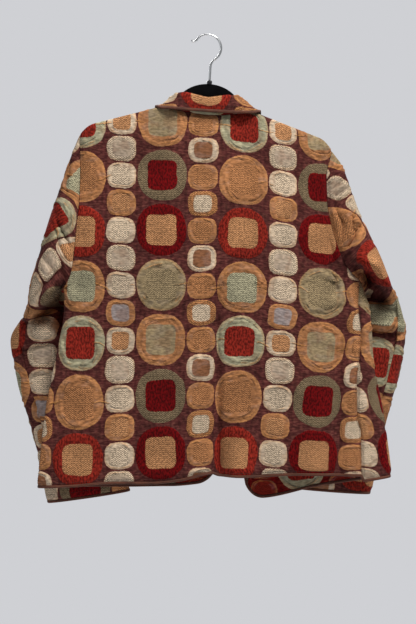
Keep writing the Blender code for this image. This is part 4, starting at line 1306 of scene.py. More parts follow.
def collar_section(neck, share):
    """Places out and up along the section at each point, the step of its fold and its middle."""
    fold, edge, lean, spread, sag = (
        curve(COLLAR["share"], column, share) for column in list(COLLAR.values())[1:]
    )
    run = neck[:, 0] - neck[len(neck) // 2, 0]
    level = NECK_POINT_HEIGHT * math.cos(LEAN) - run * math.tan(LEAN)
    level = level - HANGER_CENTRE * math.sin(LEAN)
    rise = level + fold - neck[:, 2]
    drop = neck[:, 2] - level - edge
    inset = -CLOTH_WALL / 2
    middle_out = inset - lean + FOLD_RADIUS
    middle_up = rise - FOLD_RADIUS
    stand = [(inset + 0 * lean, 0 * rise), (inset - STAND_BOW * lean, middle_up / 2)]
    bend = [
        (middle_out + FOLD_RADIUS * math.cos(turn), middle_up + FOLD_RADIUS * math.sin(turn))
        for turn in np.radians(FOLD_ANGLES)
    ]
    out, high = bend[-1]
    fall = [((out + spread) / 2, (high - drop) / 2 - sag), (spread, -drop)]
    shape = np.array(stand + bend + fall)
    knots = np.arange(len(shape), dtype=float)
    steps = np.linspace(0.0, knots[-1], COLLAR_STEPS + 1)
    places = [
        [curve(knots, shape[:, k, j], steps) for j in range(len(neck))] for k in range(2)
    ]
    fold_step = np.argmin(np.abs(steps - (len(stand) + len(bend) / 2)))
    middle = np.stack((middle_out, COLLAR_INSIDE * rise), axis=-1)
    return np.moveaxis(np.array(places), 0, -1), fold_step, middle


@cache
def collar_wall():
    """Turned-down collar swept along the neckline, stand and fall in one."""
    neck, share = neck_line()
    outward, up = collar_axes(neck, share)
    section, fold_step, middle = collar_section(neck, share)
    base = neck + [0.0, 0.0, CLOTH_SEAM_GAP]
    grid = base[:, None] + outward[:, None] * section[..., :1] + up[:, None] * section[..., 1:]
    inside = base + outward * middle[:, :1] + up * middle[:, 1:]
    inward = grid_normals(grid, inside[:, None])
    x_there, v_there = COLLAR_MOTIF
    run = run_length(grid[:, fold_step], 0)
    u = np.interp(x_there, grid[:, fold_step, 0], run) - run
    u = np.where(u > 0, COLLAR_DRAWN * u, u)
    down = run_length(grid, 1)
    past_fold = down[:, fold_step : fold_step + 1] - down
    v = v_there + np.where(past_fold > 0, STAND_TAKES * past_fold, past_fold)
    chart = np.stack((np.broadcast_to(u[:, None], v.shape), v), axis=-1)
    return figured(grid, inward, chart, COLLAR_SEED)


def ribbon(line, step):
    """Corner indices of the narrow faces between a fine border and one with half its points."""
    fine = np.array(line)
    coarse = np.array(step)
    a, b, c = fine[:-2:2], fine[1:-1:2], fine[2::2]
    p, q = coarse[:-1], coarse[1:]
    return np.concatenate(
        (np.stack((b, a, p), -1), np.stack((b, p, q), -1), np.stack((c, b, q), -1))
    )


def wall_mesh(wall):
    """Points, four-cornered faces of each side, border faces and place on the repeat."""
    inner = wall.inner[::2, ::2]
    rows, columns = wall.outer.shape[:2]
    count = rows * columns
    fine = np.arange(count).reshape(rows, columns)
    coarse = count + np.arange(inner.shape[0] * inner.shape[1]).reshape(inner.shape[:2])

    def cells(index):
        corners = (index[:-1, :-1], index[:-1, 1:], index[1:, 1:], index[1:, :-1])
        return np.stack(corners, axis=-1).reshape(-1, 4)

    border = np.concatenate(
        [
            ribbon(fine[0], coarse[0]),
            ribbon(fine[:, -1], coarse[:, -1]),
            ribbon(fine[-1, ::-1], coarse[-1, ::-1]),
            ribbon(fine[::-1, 0], coarse[::-1, 0]),
        ]
    )
    points = np.concatenate((wall.outer.reshape(-1, 3), inner.reshape(-1, 3)))
    chart = np.concatenate((wall.chart.reshape(-1, 2), wall.chart[::2, ::2].reshape(-1, 2)))
    return points, cells(fine), cells(coarse)[:, ::-1], border, chart


def volume(points, faces):
    """Six times the space that a list of faces closes, below zero if they face inwards."""
    total = 0.0
    for corners in faces:
        for k in range(1, corners.shape[1] - 1):
            a, b, c = points[corners[:, 0]], points[corners[:, k]], points[corners[:, k + 1]]
            total += (a * np.cross(b, c)).sum()
    return total


def add_object(name, data):
    """An object in the scene."""
    made = bpy.data.objects.new(name, data)
    bpy.context.scene.collection.objects.link(made)
    return made


def add_piece(name, points, faces, materials, chart=None, slots=(0, 0, 0)):
    """One smooth object from arrays of faces, turned outwards, riding on the body."""
    if volume(points, faces) < 0:
        faces = [corners[:, ::-1] for corners in faces]
    mesh = bpy.data.meshes.new(name)
    mesh.from_pydata(points.tolist(), [], [face for corners in faces for face in corners.tolist()])
    for material in materials:
        mesh.materials.append(material)
    index = np.concatenate([np.full(len(c), slot) for c, slot in zip(faces, slots)])
    mesh.polygons.foreach_set("material_index", index.astype(np.int32))
    if chart is not None:
        corners = np.zeros(len(mesh.loops), np.int32)
        mesh.loops.foreach_get("vertex_index", corners)
        layer = mesh.uv_layers.new(name="cloth")
        layer.uv.foreach_set("vector", chart[corners].astype(np.float32).ravel())
    mesh.shade_smooth()
    mesh.update()
    piece = add_object(name, mesh)
    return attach(piece, BODY)


def add_cloth(node, wall):
    """A cut piece of cloth in place of its solid."""
    points, outside, lining, border, chart = wall_mesh(wall)
    faces, materials = (outside, lining, border), (face_cloth(), reverse_cloth())
    piece = add_piece("cloth_" + node, points, faces, materials, chart, (0, 1, 0))
    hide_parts(node)


def rod_faces(count, sides, closed):
    """Faces of a rod through rings of points, with capped ends where it is open."""
    i = np.arange(count if closed else count - 1)[:, None]
    j = np.arange(sides)[None, :]
    k, m = (i + 1) % count, (j + 1) % sides
    corners = [a * sides + b for a, b in ((i, j), (i, m), (k, m), (k, j))]
    quads = np.stack(corners, axis=-1).reshape(-1, 4)
    if closed:
        return [quads]
    last = (count - 1) * sides
    fan = np.arange(1, sides - 1)
    first_cap = np.stack((0 * fan, fan + 1, fan), -1)
    last_cap = np.stack((0 * fan + last, fan + last, fan + 1 + last), -1)
    return [quads, np.concatenate((first_cap, last_cap))]


def add_rod(name, node, rings, closed, material):
    """A rod in place of a solid, with its length and girth as its map."""
    count, sides = rings.shape[:2]
    along = np.broadcast_to(run_length(rings.mean(axis=1), 0)[:, None], (count, sides))
    around = run_length(rings, 1)
    chart = np.stack((along, around), axis=-1).reshape(-1, 2)
    faces = rod_faces(count, sides, closed)
    piece = add_piece(name, rings.reshape(-1, 3), faces, (material,), chart)
    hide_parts(node)
    return piece


def tape_section(radius):
    """A strip folded round an edge: places beyond the edge and across it."""
    slot = radius - TAPE_STRIP
    turns = np.radians(np.linspace(90.0, -90.0, TAPE_ROUND_POINTS))
    outer = [(radius + radius * math.cos(a), radius * math.sin(a)) for a in turns]
    inner = [(radius + slot * math.cos(a), slot * math.sin(a)) for a in turns[::-1]]
    lips = [(-TAPE_LIP, -radius), (-TAPE_LIP, -slot)]
    ends = [(-TAPE_LIP, slot), (-TAPE_LIP, radius)]
    return np.array(outer + lips + inner + ends)


def tape_rings(outer, inner, outward, closed=False):
    """Rings of a strip folded round the edge of a wall."""
    middle = (outer + inner) / 2
    through = unit(inner - outer)
    if closed:
        tangent = unit(np.roll(middle, -1, axis=0) - np.roll(middle, 1, axis=0))
    else:
        tangent = unit(np.gradient(middle, axis=0))
        middle[0] = slide(middle[0], middle[1], TAPE_END_TRIM)
        middle[-1] = slide(middle[-1], middle[-2], TAPE_END_TRIM)
    away = unit(np.cross(tangent, through))
    away *= np.sign((away * outward).sum(axis=-1, keepdims=True))
    section = tape_section(bpy.context.scene.jacket_sewing.tape)
    ring = away[:, None] * section[:, :1] + through[:, None] * section[:, 1:]
    return middle[:, None] + ring


def feed(tree, socket, value):
    """Links or sets one socket."""
    if isinstance(value, bpy.types.NodeSocket):
        tree.links.new(value, socket)
    else:
        socket.default_value = value


def add_node(tree, kind, inputs, settings):
    """A node with its settings, and its inputs fed by place or by name."""
    node = tree.nodes.new(kind)
    for name, value in settings.items():
        setattr(node, name, value)
    for key, value in inputs.items():
        feed(tree, node.inputs[key], value)
    return node


class Finish:
    """A material whose nodes are laid in short steps."""

    def __init__(self, name, **sockets):
        self.material = bpy.data.materials.new(name)
        self.material.use_nodes = True
        self.tree = self.material.node_tree
        self.shader = self.tree.nodes["Principled BSDF"]
        for socket, value in sockets.items():
            title = socket.replace("_", " ").title().replace("Ior", "IOR")
            self.feed(title, value)

    def feed(self, socket, value):
        """Links or sets one socket of the shader."""
        feed(self.tree, self.shader.inputs[socket], value)

    def add(self, kind, *values, inputs=None, **settings):
        """A node with its settings, and its inputs fed in order or by name."""
        return add_node(self.tree, kind, {**dict(enumerate(values)), **(inputs or {})}, settings)

    def cloth(self):
        """Place on the piece's map."""
        return self.add("ShaderNodeUVMap", uv_map="cloth").outputs[0]

    def spot(self):
        """Place in the piece's own space."""
        return self.add("ShaderNodeTexCoord").outputs["Object"]

    def maths(self, operation, *values):
        """One step of arithmetic."""
        return self.add("ShaderNodeMath", *values, operation=operation).outputs[0]

    def total(self, *values):
        """Sum of values."""
        return reduce(partial(self.maths, "ADD"), values)

    def times(self, *values):
        """Product of values."""
        return reduce(partial(self.maths, "MULTIPLY"), values)

    def without(self, value):
        """What a share leaves of one."""
        return self.maths("SUBTRACT", 1.0, value)

    def off(self, noise, reach):
        """Noise about zero, so far to either side as half the reach."""
        return self.times(self.maths("SUBTRACT", noise, 0.5), reach)

    def blend(self, share, first, second):
        """A value between two others."""
        return self.total(first, self.times(share, self.maths("SUBTRACT", second, first)))

    def span(self, value, low, high, bottom=0.0, top=1.0):
        """A value eased from one range on to another."""
        limits = (low, high, bottom, top)
        node = self.add("ShaderNodeMapRange", value, *limits, interpolation_type="SMOOTHSTEP")
        return node.outputs[0]

    def split(self, vector):
        """Three parts of a vector or a colour."""
        return self.add("ShaderNodeSeparateXYZ", vector).outputs[:]

    def noise(self, vector, across, down, detail):
        """Value and colour of noise with so many features a metre along each axis."""
        scaled = self.add("ShaderNodeVectorMath", vector, (across, down, 1.0), operation="MULTIPLY")
        inputs = {"Vector": scaled.outputs[0], "Scale": 1.0, "Detail": detail}
        return self.add("ShaderNodeTexNoise", inputs=inputs, noise_dimensions="2D").outputs[:2]

    def speckle(self, scale, detail=2.0):
        """Noise through the piece's own space."""
        inputs = {"Vector": self.spot(), "Scale": scale, "Detail": detail}
        return self.add("ShaderNodeTexNoise", inputs=inputs).outputs[0]

    def mix(self, share, first, second):
        """A colour between two others."""
        inputs = {0: share, 6: first, 7: second}
        return self.add("ShaderNodeMix", inputs=inputs, data_type="RGBA").outputs[2]

    def steps(self, value, stops):
        """A colour and a weave picked by a value from equal steps."""
        node = self.add("ShaderNodeValToRGB", value)
        ramp = node.color_ramp
        ramp.interpolation = "CONSTANT"
        while len(ramp.elements) < len(stops):
            ramp.elements.new(1.0)
        for k, (yarn, weave) in enumerate(stops):
            ramp.elements[k].position = k / len(stops)
            ramp.elements[k].color = (*yarn_colour(yarn), weave)
        return node.outputs[:2]

    def bump(self, height, strength, distance):
        """Fine relief that is too small to model."""
        inputs = {"Strength": strength, "Distance": distance, "Height": height}
        self.feed("Normal", self.add("ShaderNodeBump", inputs=inputs).outputs[0])

    def paint(self, colour, tone):
        """The finished material, in a colour made lighter or darker."""
        inputs = {0: colour, "Scale": tone}
        node = self.add("ShaderNodeVectorMath", inputs=inputs, operation="SCALE")
        self.feed("Base Color", node.outputs[0])
        return self.material


def yarn_colour(yarn):
    """Red, green and blue of a yarn."""
    return tuple(getattr(bpy.context.scene.jacket_yarns, yarn))


def motif_nodes(finish, u, v, lane, chart):
    """The nearest motif of a lane: its distance, place, shares, ring weave, colour and weave."""
    at, times, total = finish.maths, finish.times, finish.total
    index = at("FLOOR", at("ADD", at("DIVIDE", u, LANE), lane["offset"]))
    kind = at("FLOORED_MODULO", index, 2.0)
    across = at("SUBTRACT", u, times(at("ADD", index, 0.5 - lane["offset"]), LANE))
    raised = total(v, times(kind, lane["step"]), lane["lift"])
    row = at("FLOOR", at("ADD", at("DIVIDE", raised, lane["pitch"]), 0.5))
    down = at("SUBTRACT", raised, times(row, lane["pitch"]))
    cycle = float(lane["cycle"])
    place = total(times(kind, cycle), at("FLOORED_MODULO", row, cycle), 0.5)
    pick = at("DIVIDE", place, 2.0 * cycle)

    def reach(shape):
        half_width, half_height, power = shape
        wide = at("POWER", at("ABSOLUTE", at("DIVIDE", across, half_width)), power)
        high = at("POWER", at("ABSOLUTE", at("DIVIDE", down, half_height)), power)
        return at("POWER", at("ADD", wide, high), 1 / power)

    distance = reach(lane["outline"])
    soft, core_soft = lane["soft"]
    core = finish.span(reach(lane["core"]), 1 + core_soft, 1 - core_soft)
    ring_colour, ring_weave = finish.steps(pick, [stop[:2] for stop in chart])
    core_colour, core_weave = finish.steps(pick, [stop[2:] for stop in chart])
    return SimpleNamespace(
        distance=distance,
        across=across,
        down=down,
        within=finish.span(distance, 1 + soft, 1 - soft),
        core=core,
        ring_weave=ring_weave,
        colour=finish.mix(core, ring_colour, core_colour),
        weave=finish.blend(core, ring_weave, core_weave),
    )


def weave_shares(finish, weave):
    """How far a yarn area is smooth, zigzag or pile."""
    smooth = finish.span(weave, 0.40, 0.10)
    pile = finish.span(weave, 0.60, 0.90)
    return smooth, finish.maths("SUBTRACT", finish.without(smooth), pile), pile


def zigzag_grain(finish, u, v, jitter_u, jitter_v, fleck):
    """Rows of chevrons, broken up by flecks."""
    at, off = finish.maths, finish.off
    teeth = at("PINGPONG", finish.total(u, off(jitter_u, GRAIN_JITTER)), TOOTH)
    climb = finish.total(v, finish.times(teeth, TOOTH_SLOPE), off(jitter_v, GRAIN_JITTER))
    rows = at("DIVIDE", at("PINGPONG", climb, GRAIN_ROW), GRAIN_ROW)
    return finish.times(finish.span(rows, 0.10, 0.70), finish.span(fleck, 0.34, 0.54, 0.45, 1.0))


def rim_puckers(finish, disc, small, sway_u, sway_v, patch, slow):
    """Crest and valley of the raised fold along a rim, and the lit edge outside it."""
    at, times, span = finish.maths, finish.times, finish.span
    wave = finish.off(slow, RIM_WAVE)

    def capped(motif):
        aside = times(at("ABSOLUTE", motif.across), CAP_SLOPE)
        return span(at("SUBTRACT", at("ABSOLUTE", motif.down), aside), -0.004, 0.010)

    def fold_line(motif, level, width):
        here = at("SUBTRACT", at("SUBTRACT", motif.distance, level), wave)
        return span(at("ABSOLUTE", here), width, width * 0.2)

    ring = times(disc.within, finish.without(disc.core), span(disc.ring_weave, 0.3, 0.1))
    small_ring = times(small.within, span(small.ring_weave, 0.7, 0.4))
    cap = times(ring, capped(disc), span(patch, 0.42, 0.56))
    small_cap = times(small_ring, capped(small), span(sway_u, 0.44, 0.56))
    crest, valley = (
        at("MAXIMUM", times(fold_line(disc, *line), cap), times(fold_line(small, *low), small_cap))
        for line, low in (CREST_LINES, VALLEY_LINES)
    )
    edge = times(span(disc.distance, 0.90, 0.97), ring)
    edge = at("MAXIMUM", edge, times(span(small.distance, 0.84, 0.95), small_ring))
    return crest, valley, times(edge, span(sway_v, 0.36, 0.56, 0.25, 1.0))


def float_yarns(finish, disc, sway_v, slow_u):
    """Yarns that float at mid height beside a disc's core, and the shade under them."""
    at, times, span = finish.maths, finish.times, finish.span
    off = at("ADD", disc.down, finish.off(slow_u, FLOAT_WAVE))
    aside = at("ABSOLUTE", disc.across)
    beside = times(span(aside, 0.021, 0.026), span(aside, 0.054, 0.046))
    beside = times(beside, span(disc.ring_weave, 0.3, 0.1), span(sway_v, 0.44, 0.52))
    under = at("ABSOLUTE", at("SUBTRACT", off, FLOAT_SHADE_DROP))
    floats = times(span(at("ABSOLUTE", off), 0.0012, 0.0004), beside)
    return floats, times(span(under, 0.0014, 0.0004), beside)


def jacquard(name, ground_yarn, streak_yarn, disc_chart, small_chart):
    """Figured cloth: discs and small motifs on a streaky ground, each in its own weave."""
    finish = Finish(
        name, roughness=0.94, sheen_weight=0.03, sheen_roughness=0.45, specular_ior_level=0.12
    )
    at, times, total, span = finish.maths, finish.times, finish.total, finish.span
    off, without, blend = finish.off, finish.without, finish.blend
    place = finish.cloth()
    u, v, _ = finish.split(place)
    noise = {name: finish.noise(place, *measures) for name, measures in YARN_NOISE.items()}
    sway_u, sway_v, patch = finish.split(noise["sway"][1])
    slow_u, slow_v, slow = finish.split(noise["slow"][1])
    jitter_u, jitter_v, _ = finish.split(noise["jitter"][1])
    streak, crinkle, fuzz, twill, cloud, fleck = (
        noise[name][0] for name in ("streak", "crinkle", "fuzz", "twill", "cloud", "fleck")
    )
    u_moved = total(u, off(sway_u, SWAY), off(jitter_u, JITTER))
    v_moved = total(v, off(sway_v, SWAY), off(jitter_v, JITTER))
    disc = motif_nodes(finish, u_moved, v_moved, DISC_LANE, disc_chart)
    small = motif_nodes(finish, u_moved, v_moved, SMALL_LANE, small_chart)
    figure = at("MAXIMUM", disc.within, small.within)
    weave = blend(small.within, disc.weave, small.weave)
    smooth, zigzag, pile = weave_shares(finish, weave)
    rib = at("SINE", total(times(u, 2 * math.pi / RIB_PITCH), off(sway_v, RIB_SWAY)))
    grain = zigzag_grain(finish, u, v, jitter_u, jitter_v, fleck)
    crest, valley, edge = rim_puckers(finish, disc, small, sway_u, sway_v, patch, slow)
    floats, shade = float_yarns(finish, disc, sway_v, slow_u)

    # Colour: uneven dye on smooth yarns, a painted gold highlight where the puckers catch the light
    # and along the lit rim edges, and the ground
    def tinted(colour, share, yarn):
        return finish.mix(share, colour, (*yarn_colour(yarn), 1.0))

    colour = finish.mix(small.within, disc.colour, small.colour)
    colour = tinted(colour, times(span(cloud, 0.46, 0.70), smooth, 0.16), "lilac")
    colour = tinted(colour, times(span(patch, 0.50, 0.68), smooth, 0.30), "copper")
    # Painted highlight: gold on the crests of the rim puckers and on the lit rim edges.
    colour = tinted(colour, times(crest, 0.40), "gold")
    colour = tinted(colour, times(edge, 0.30), "gold")
    ground = tinted((*yarn_colour(ground_yarn), 1.0), span(streak, 0.40, 0.70), streak_yarn)
    colour = tinted(finish.mix(figure, ground, colour), times(floats, 0.60), "gold")

    # Tone: light and dark of each weave, painted shade in the valleys of the puckers and under the
    # floating yarns, and the cloth at large
    ground_tone = total(span(crinkle, 0.25, 0.75, 0.62, 1.24), times(rib, 0.09))
    figure_tone = total(
        times(smooth, span(twill, 0.25, 0.75, 0.68, 1.22)),
        times(zigzag, span(grain, 0.0, 1.0, 0.40, 1.36)),
        times(pile, span(fuzz, 0.28, 0.72, 0.46, 1.62)),
    )
    tone = blend(figure, ground_tone, figure_tone)
    # Painted shade: darker along the valleys of the rim puckers and under the floating yarns.
    tone = times(tone, without(times(valley, 0.42)), without(times(shade, 0.35)))
    tone = times(tone, span(slow_v, 0.25, 0.75, 0.86, 1.10))

    # Relief of the yarns themselves
    height = total(
        times(figure, 0.40),
        times(without(figure), at("ADD", streak, crinkle), 0.55),
        times(figure, zigzag, grain, 0.40),
        times(figure, pile, fuzz, 0.70),
        times(figure, smooth, twill, 0.45),
        times(crest, 0.60),
        times(valley, -0.70),
        times(floats, 0.50),
        times(shade, -0.45),
    )
    finish.bump(height, 0.85, 0.0014)
    return finish.paint(colour, tone)


@cache
def face_cloth():
    """The cloth as it shows outside."""
    return jacquard("figured_face", "plum", "mulberry", DISC_CHART, SMALL_CHART)


@cache
def reverse_cloth():
    """The cloth as it shows inside."""
    return jacquard("figured_reverse", "crimson", "rust", REVERSE_DISC_CHART, REVERSE_SMALL_CHART)


@cache
def bound_tape():
    """Narrow twill tape with slanting ribs and uneven dye."""
    finish = Finish("bound_tape", roughness=0.88, sheen_weight=0.1)
    place = finish.cloth()
    along, around, _ = finish.split(place)
    slant = finish.total(
        finish.times(along, 2 * math.pi / TAPE_RIB), finish.times(around, TAPE_SLANT)
    )
    ribs = finish.maths("SINE", slant)
    dye = finish.noise(place, 60.0, 200.0, 3.0)[0]
    finish.bump(ribs, 0.6, 0.0003)
    tone = finish.total(finish.times(ribs, 0.14), finish.span(dye, *MIDTONES, 0.75, 1.25))
    return finish.paint(yarn_colour("tape"), tone)


@cache
def sewing_thread():
    """Matte thread, a little lighter here and there."""
    finish = Finish("sewing_thread", roughness=0.7)
    dye = finish.noise(finish.spot(), 300.0, 300.0, 2.0)[0]
    return finish.paint(yarn_colour("thread"), finish.span(dye, *MIDTONES, 0.7, 1.5))


@cache
def velvet_flock():
    """Short black flock with worn, paler specks."""
    finish = Finish(
        "velvet_flock",
        roughness=0.95,
        sheen_weight=0.02,
        sheen_roughness=0.5,
        specular_ior_level=0.06,
    )
    nap, wear = finish.speckle(900.0, 3.0), finish.speckle(60.0)
    finish.bump(nap, 0.5, 0.0004)
    tone = finish.times(
        finish.span(nap, *MIDTONES, 0.5, 1.6), finish.span(wear, *MIDTONES, 0.8, 1.3)
    )
    return finish.paint((0.0026, 0.0025, 0.0028), tone)


@cache
def black_ferrule():
    """Moulded black collar of the hook, faintly scuffed."""
    finish = Finish("black_ferrule", roughness=0.42)
    scuff = finish.speckle(700.0)
    finish.bump(scuff, 0.2, 0.0002)
    return finish.paint((0.02, 0.02, 0.022), finish.span(scuff, *MIDTONES, 0.7, 1.5))


@cache
def bright_wire():
    """Plated hook wire with fine draw marks."""
    finish = Finish("bright_wire", metallic=1.0)
    marks = finish.noise(finish.cloth(), 60.0, 2500.0, 2.0)[0]
    finish.feed("Roughness", finish.span(marks, *MIDTONES, 0.24, 0.36))
    finish.bump(marks, 0.15, 0.0001)
    return finish.paint((0.90, 0.92, 0.93), finish.span(marks, *MIDTONES, 0.92, 1.05))


@cache
def pale_floor():
    """Pale floor, faintly mottled."""
    finish = Finish("pale_floor", roughness=0.9)
    mottle = finish.noise(finish.spot(), 3.0, 3.0, 3.0)[0]
    pale = tuple(bpy.context.scene.jacket_stage.pale)
    return finish.paint(pale, finish.span(mottle, *MIDTONES, 0.96, 1.02))


def stitch_tree():
    """Geometry nodes that lay one stitch after another along edges."""
    tree = bpy.data.node_groups.new("row_of_stitches", "GeometryNodeTree")
    tree.is_modifier = True
    kinds = {"Geometry": "Geometry", "Pitch": "Float", "Length": "Float", "Thickness": "Float"}
    kinds["Thread"] = "Material"
    for name, kind in kinds.items():
        tree.interface.new_socket(name, in_out="INPUT", socket_type="NodeSocket" + kind)
    tree.interface.new_socket("Geometry", in_out="OUTPUT", socket_type="NodeSocketGeometry")

    def add(kind, output=0, inputs=None, **settings):
        return add_node(tree, kind, inputs or {}, settings).outputs[output]

    given = tree.nodes.new("NodeGroupInput").outputs
    path = add("GeometryNodeMeshToCurve", inputs={"Mesh": given["Geometry"]})
    spacing = {"Curve": path, "Length": given["Pitch"]}
    even = add("GeometryNodeResampleCurve", inputs=spacing, mode="LENGTH")
    tangent = {"Vector": add("GeometryNodeInputTangent")}
    turned = add("FunctionNodeAlignRotationToVector", inputs=tangent, axis="X")
    bead = add("GeometryNodeMeshIcoSphere", inputs={"Radius": BEAD_RADIUS, "Subdivisions": 1})
    low, high = STITCH_SHARES
    limits = {"Min": low, "Max": high, "Seed": SEED}
    uneven = add("FunctionNodeRandomValue", "Value", limits, data_type="FLOAT")
    factors = {0: given["Length"], 1: uneven}
    length = add("ShaderNodeMath", inputs=factors, operation="MULTIPLY")
    sizes = {"X": length, "Y": given["Thickness"], "Z": given["Thickness"]}
    size = add("ShaderNodeCombineXYZ", inputs=sizes)
    laid = {"Points": even, "Instance": bead, "Rotation": turned, "Scale": size}
    rows = add("GeometryNodeInstanceOnPoints", inputs=laid)
    real = add("GeometryNodeRealizeInstances", inputs={"Geometry": rows})
    thread = {"Geometry": real, "Material": given["Thread"]}
    sewn = add("GeometryNodeSetMaterial", inputs=thread)
    add_node(tree, "NodeGroupOutput", {"Geometry": sewn}, {})
    return tree


def add_stitches(name, lines, tree):
    """Rows of stitches along lines of points, as one plain mesh."""
    sewing = bpy.context.scene.jacket_sewing
    points = np.concatenate(lines)
    ends = np.cumsum([len(line) for line in lines])
    steps = [k for k in range(len(points) - 1) if k + 1 not in ends]
    path = bpy.data.meshes.new(name + "_path")
    path.from_pydata(points.tolist(), [(k, k + 1) for k in steps], [])
    carrier = add_object(name + "_path", path)
    modifier = carrier.modifiers.new("stitches", "NODES")
    modifier.node_group = tree
    given = {
        "Pitch": sewing.pitch,
        "Length": sewing.length,
        "Thickness": sewing.thickness,
        "Thread": sewing_thread(),
    }
    for socket in tree.interface.items_tree:
        if socket.in_out == "INPUT" and socket.name in given:
            modifier[socket.identifier] = given[socket.name]
    sewn = carrier.evaluated_get(bpy.context.evaluated_depsgraph_get())
    mesh = bpy.data.meshes.new_from_object(sewn)
    mesh.name = name
    mesh.shade_smooth()
    bpy.data.objects.remove(carrier)
    bpy.data.meshes.remove(path)
    piece = add_object(name, mesh)
    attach(piece, BODY)
    return piece


def hanger_top(away):
    """Upper edge of the hanger, at a distance from its middle."""
    reach = np.clip(away / CROWN_HALF_WIDTH, 0.0, 1.0)
    crown = CROWN_TOP - CROWN_RISE * (1 - np.sqrt(1 - reach**2))
    slack = (CLOTH_WALL + HANGER_GAP) * math.hypot(1.0, SHOULDER_SLOPE)
    slack = slack + JUNCTION_SLACK * ease((JUNCTION_AT - away) / JUNCTION_OVER)
    arm = NECK_POINT_HEIGHT - SHOULDER_SLOPE * (away - NECK_HALF) - slack
    return np.where(away < CROWN_HALF_WIDTH, np.maximum(crown, arm), arm)


def swept(path, along, sections):
    """Rings round a path on the leaning hanger, from reaches across it and depths."""
    across = np.stack((-along[:, 1], along[:, 0]), axis=-1)
    rings = []
    for reach, depth in sections:
        flat = path + across * np.reshape(reach, (-1, 1))
        x, z = leaned(flat[:, 0], flat[:, 1])
        rings.append(np.stack((x, np.full_like(x, depth), z), axis=-1))
    return np.stack(rings, axis=1)


def frame_rings():
    """Rounded flat section swept round the closed frame."""
    crown = np.linspace(0.0, CROWN_RUN, CROWN_POINTS)
    away = np.concatenate((crown, np.linspace(ARM_STARTS, ARM_ENDS, ARM_POINTS)))
    top = hanger_top(away)
    tangent = unit(np.stack((np.gradient(away), np.gradient(top)), axis=-1))
    half = ARM_HALF_HEIGHT + (CROWN_HALF_HEIGHT - ARM_HALF_HEIGHT) * ease(1 - away / CROWN_FADES)
    centre = np.stack((away + tangent[:, 1] * half, top - tangent[:, 0] * half), axis=-1)
    centre[0, 0] = 0.0
    end = centre[-1, 1]
    angle = np.radians(np.linspace(*TIP_ANGLES, TIP_POINTS))
    tip_z = (end + BAR_HEIGHT) / 2 + (end - BAR_HEIGHT) / 2 * TIP_FILL * np.sin(angle)
    tip = np.stack((TIP_MIDDLE + TIP_RADIUS * np.cos(angle), tip_z), axis=-1)
    bar_x = np.linspace(BAR_STARTS, 0.0, BAR_POINTS)
    bar = np.stack((bar_x, np.full_like(bar_x, BAR_HEIGHT)), axis=-1)
    path = np.concatenate((centre, tip, bar))
    tip_half = np.linspace(TIP_HALF_HEIGHT, BAR_HALF_HEIGHT, TIP_POINTS)
    heights = np.concatenate((half, tip_half, np.full_like(bar_x, BAR_HALF_HEIGHT)))
    path = np.concatenate((path, path[-2:0:-1] * [-1.0, 1.0]))
    heights = np.concatenate((heights, heights[-2:0:-1]))
    along = unit(np.roll(path, -1, axis=0) - np.roll(path, 1, axis=0))
    sections = []
    for turn in np.radians(np.linspace(0.0, 360.0, FRAME_SIDES, endpoint=False)):
        rounding = HANGER_CHAMFER * (1 - abs(math.cos(turn)))
        reach = math.copysign(1.0, math.cos(turn)) * (heights - rounding)
        sections.append((reach, HANGER_HALF_THICKNESS * math.sin(turn)))
    return swept(path + [HANGER_CENTRE, 0.0], along, sections)


def ferrule_rings():
    """A short turned collar with a rounded shoulder."""
    foot = CROWN_TOP + HANGER_GAP
    angle = np.linspace(0.0, 2 * math.pi, FERRULE_SIDES, endpoint=False)
    rings = []
    for share, radius in FERRULE_PROFILE:
        reach = FERRULE_RADIUS * radius
        height = np.full_like(angle, foot + share * FERRULE_HEIGHT)
        x, z = leaned(HANGER_CENTRE + reach * np.cos(angle), height)
        rings.append(np.stack((x, reach * np.sin(angle), z), axis=-1))
    return np.stack(rings)


def hook_rings():
    """Wire along the hook's arc, from its curled tip down to the ferrule."""
    foot = CROWN_TOP + HANGER_GAP
    rest = math.pi / 2 + LEAN
    inner = HOOK_RADIUS - WIRE_RADIUS
    middle = np.array([-inner * math.cos(rest), -inner * math.sin(rest)])
    angle = np.radians(np.linspace(*HOOK_ANGLES, HOOK_POINTS))
    arc = middle + HOOK_RADIUS * np.stack((np.cos(angle), np.sin(angle)), axis=-1)
    shank = np.array([HANGER_CENTRE, arc[-1][1] - SHANK_DROP]) + np.array(SHANK_BEND)
    shank_foot = [(HANGER_CENTRE, foot + FERRULE_HEIGHT + HANGER_GAP)]
    knots = np.concatenate((arc[0] + np.array(HOOK_CURL), arc, shank, shank_foot))
    run = run_length(knots, 0)
    fine = np.linspace(0.0, run[-1], WIRE_POINTS)
    path = np.stack([curve(run, knots[:, k], fine) for k in range(2)], axis=-1)
    turns = np.linspace(0.0, 2 * math.pi, WIRE_SIDES, endpoint=False)
    sections = [(WIRE_RADIUS * math.cos(turn), WIRE_RADIUS * math.sin(turn)) for turn in turns]
    return swept(path, unit(np.gradient(path, axis=0)), sections)


class JACKET_OT_body(bpy.types.Operator):
    """Make the back and the fronts"""

    bl_idname = "jacket.body"
    bl_label = "Back and fronts"

    def execute(self, context):
        for node, wall in body_walls().items():
            add_cloth(node, wall)
        return {"FINISHED"}


class JACKET_OT_sleeves(bpy.types.Operator):
    """Make the two halves of each sleeve"""

    bl_idname = "jacket.sleeves"
    bl_label = "Sleeves"

    def execute(self, context):
        for side, name in SIDES.items():
            for part, wall in sleeve_walls(side).items():
                add_cloth(f"sleeve_{name}_{part}", wall)
        return {"FINISHED"}


class JACKET_OT_collar(bpy.types.Operator):
    """Make the turned-down collar"""

    bl_idname = "jacket.collar"
    bl_label = "Collar"

    def execute(self, context):
        add_cloth("collar", collar_wall())
        return {"FINISHED"}


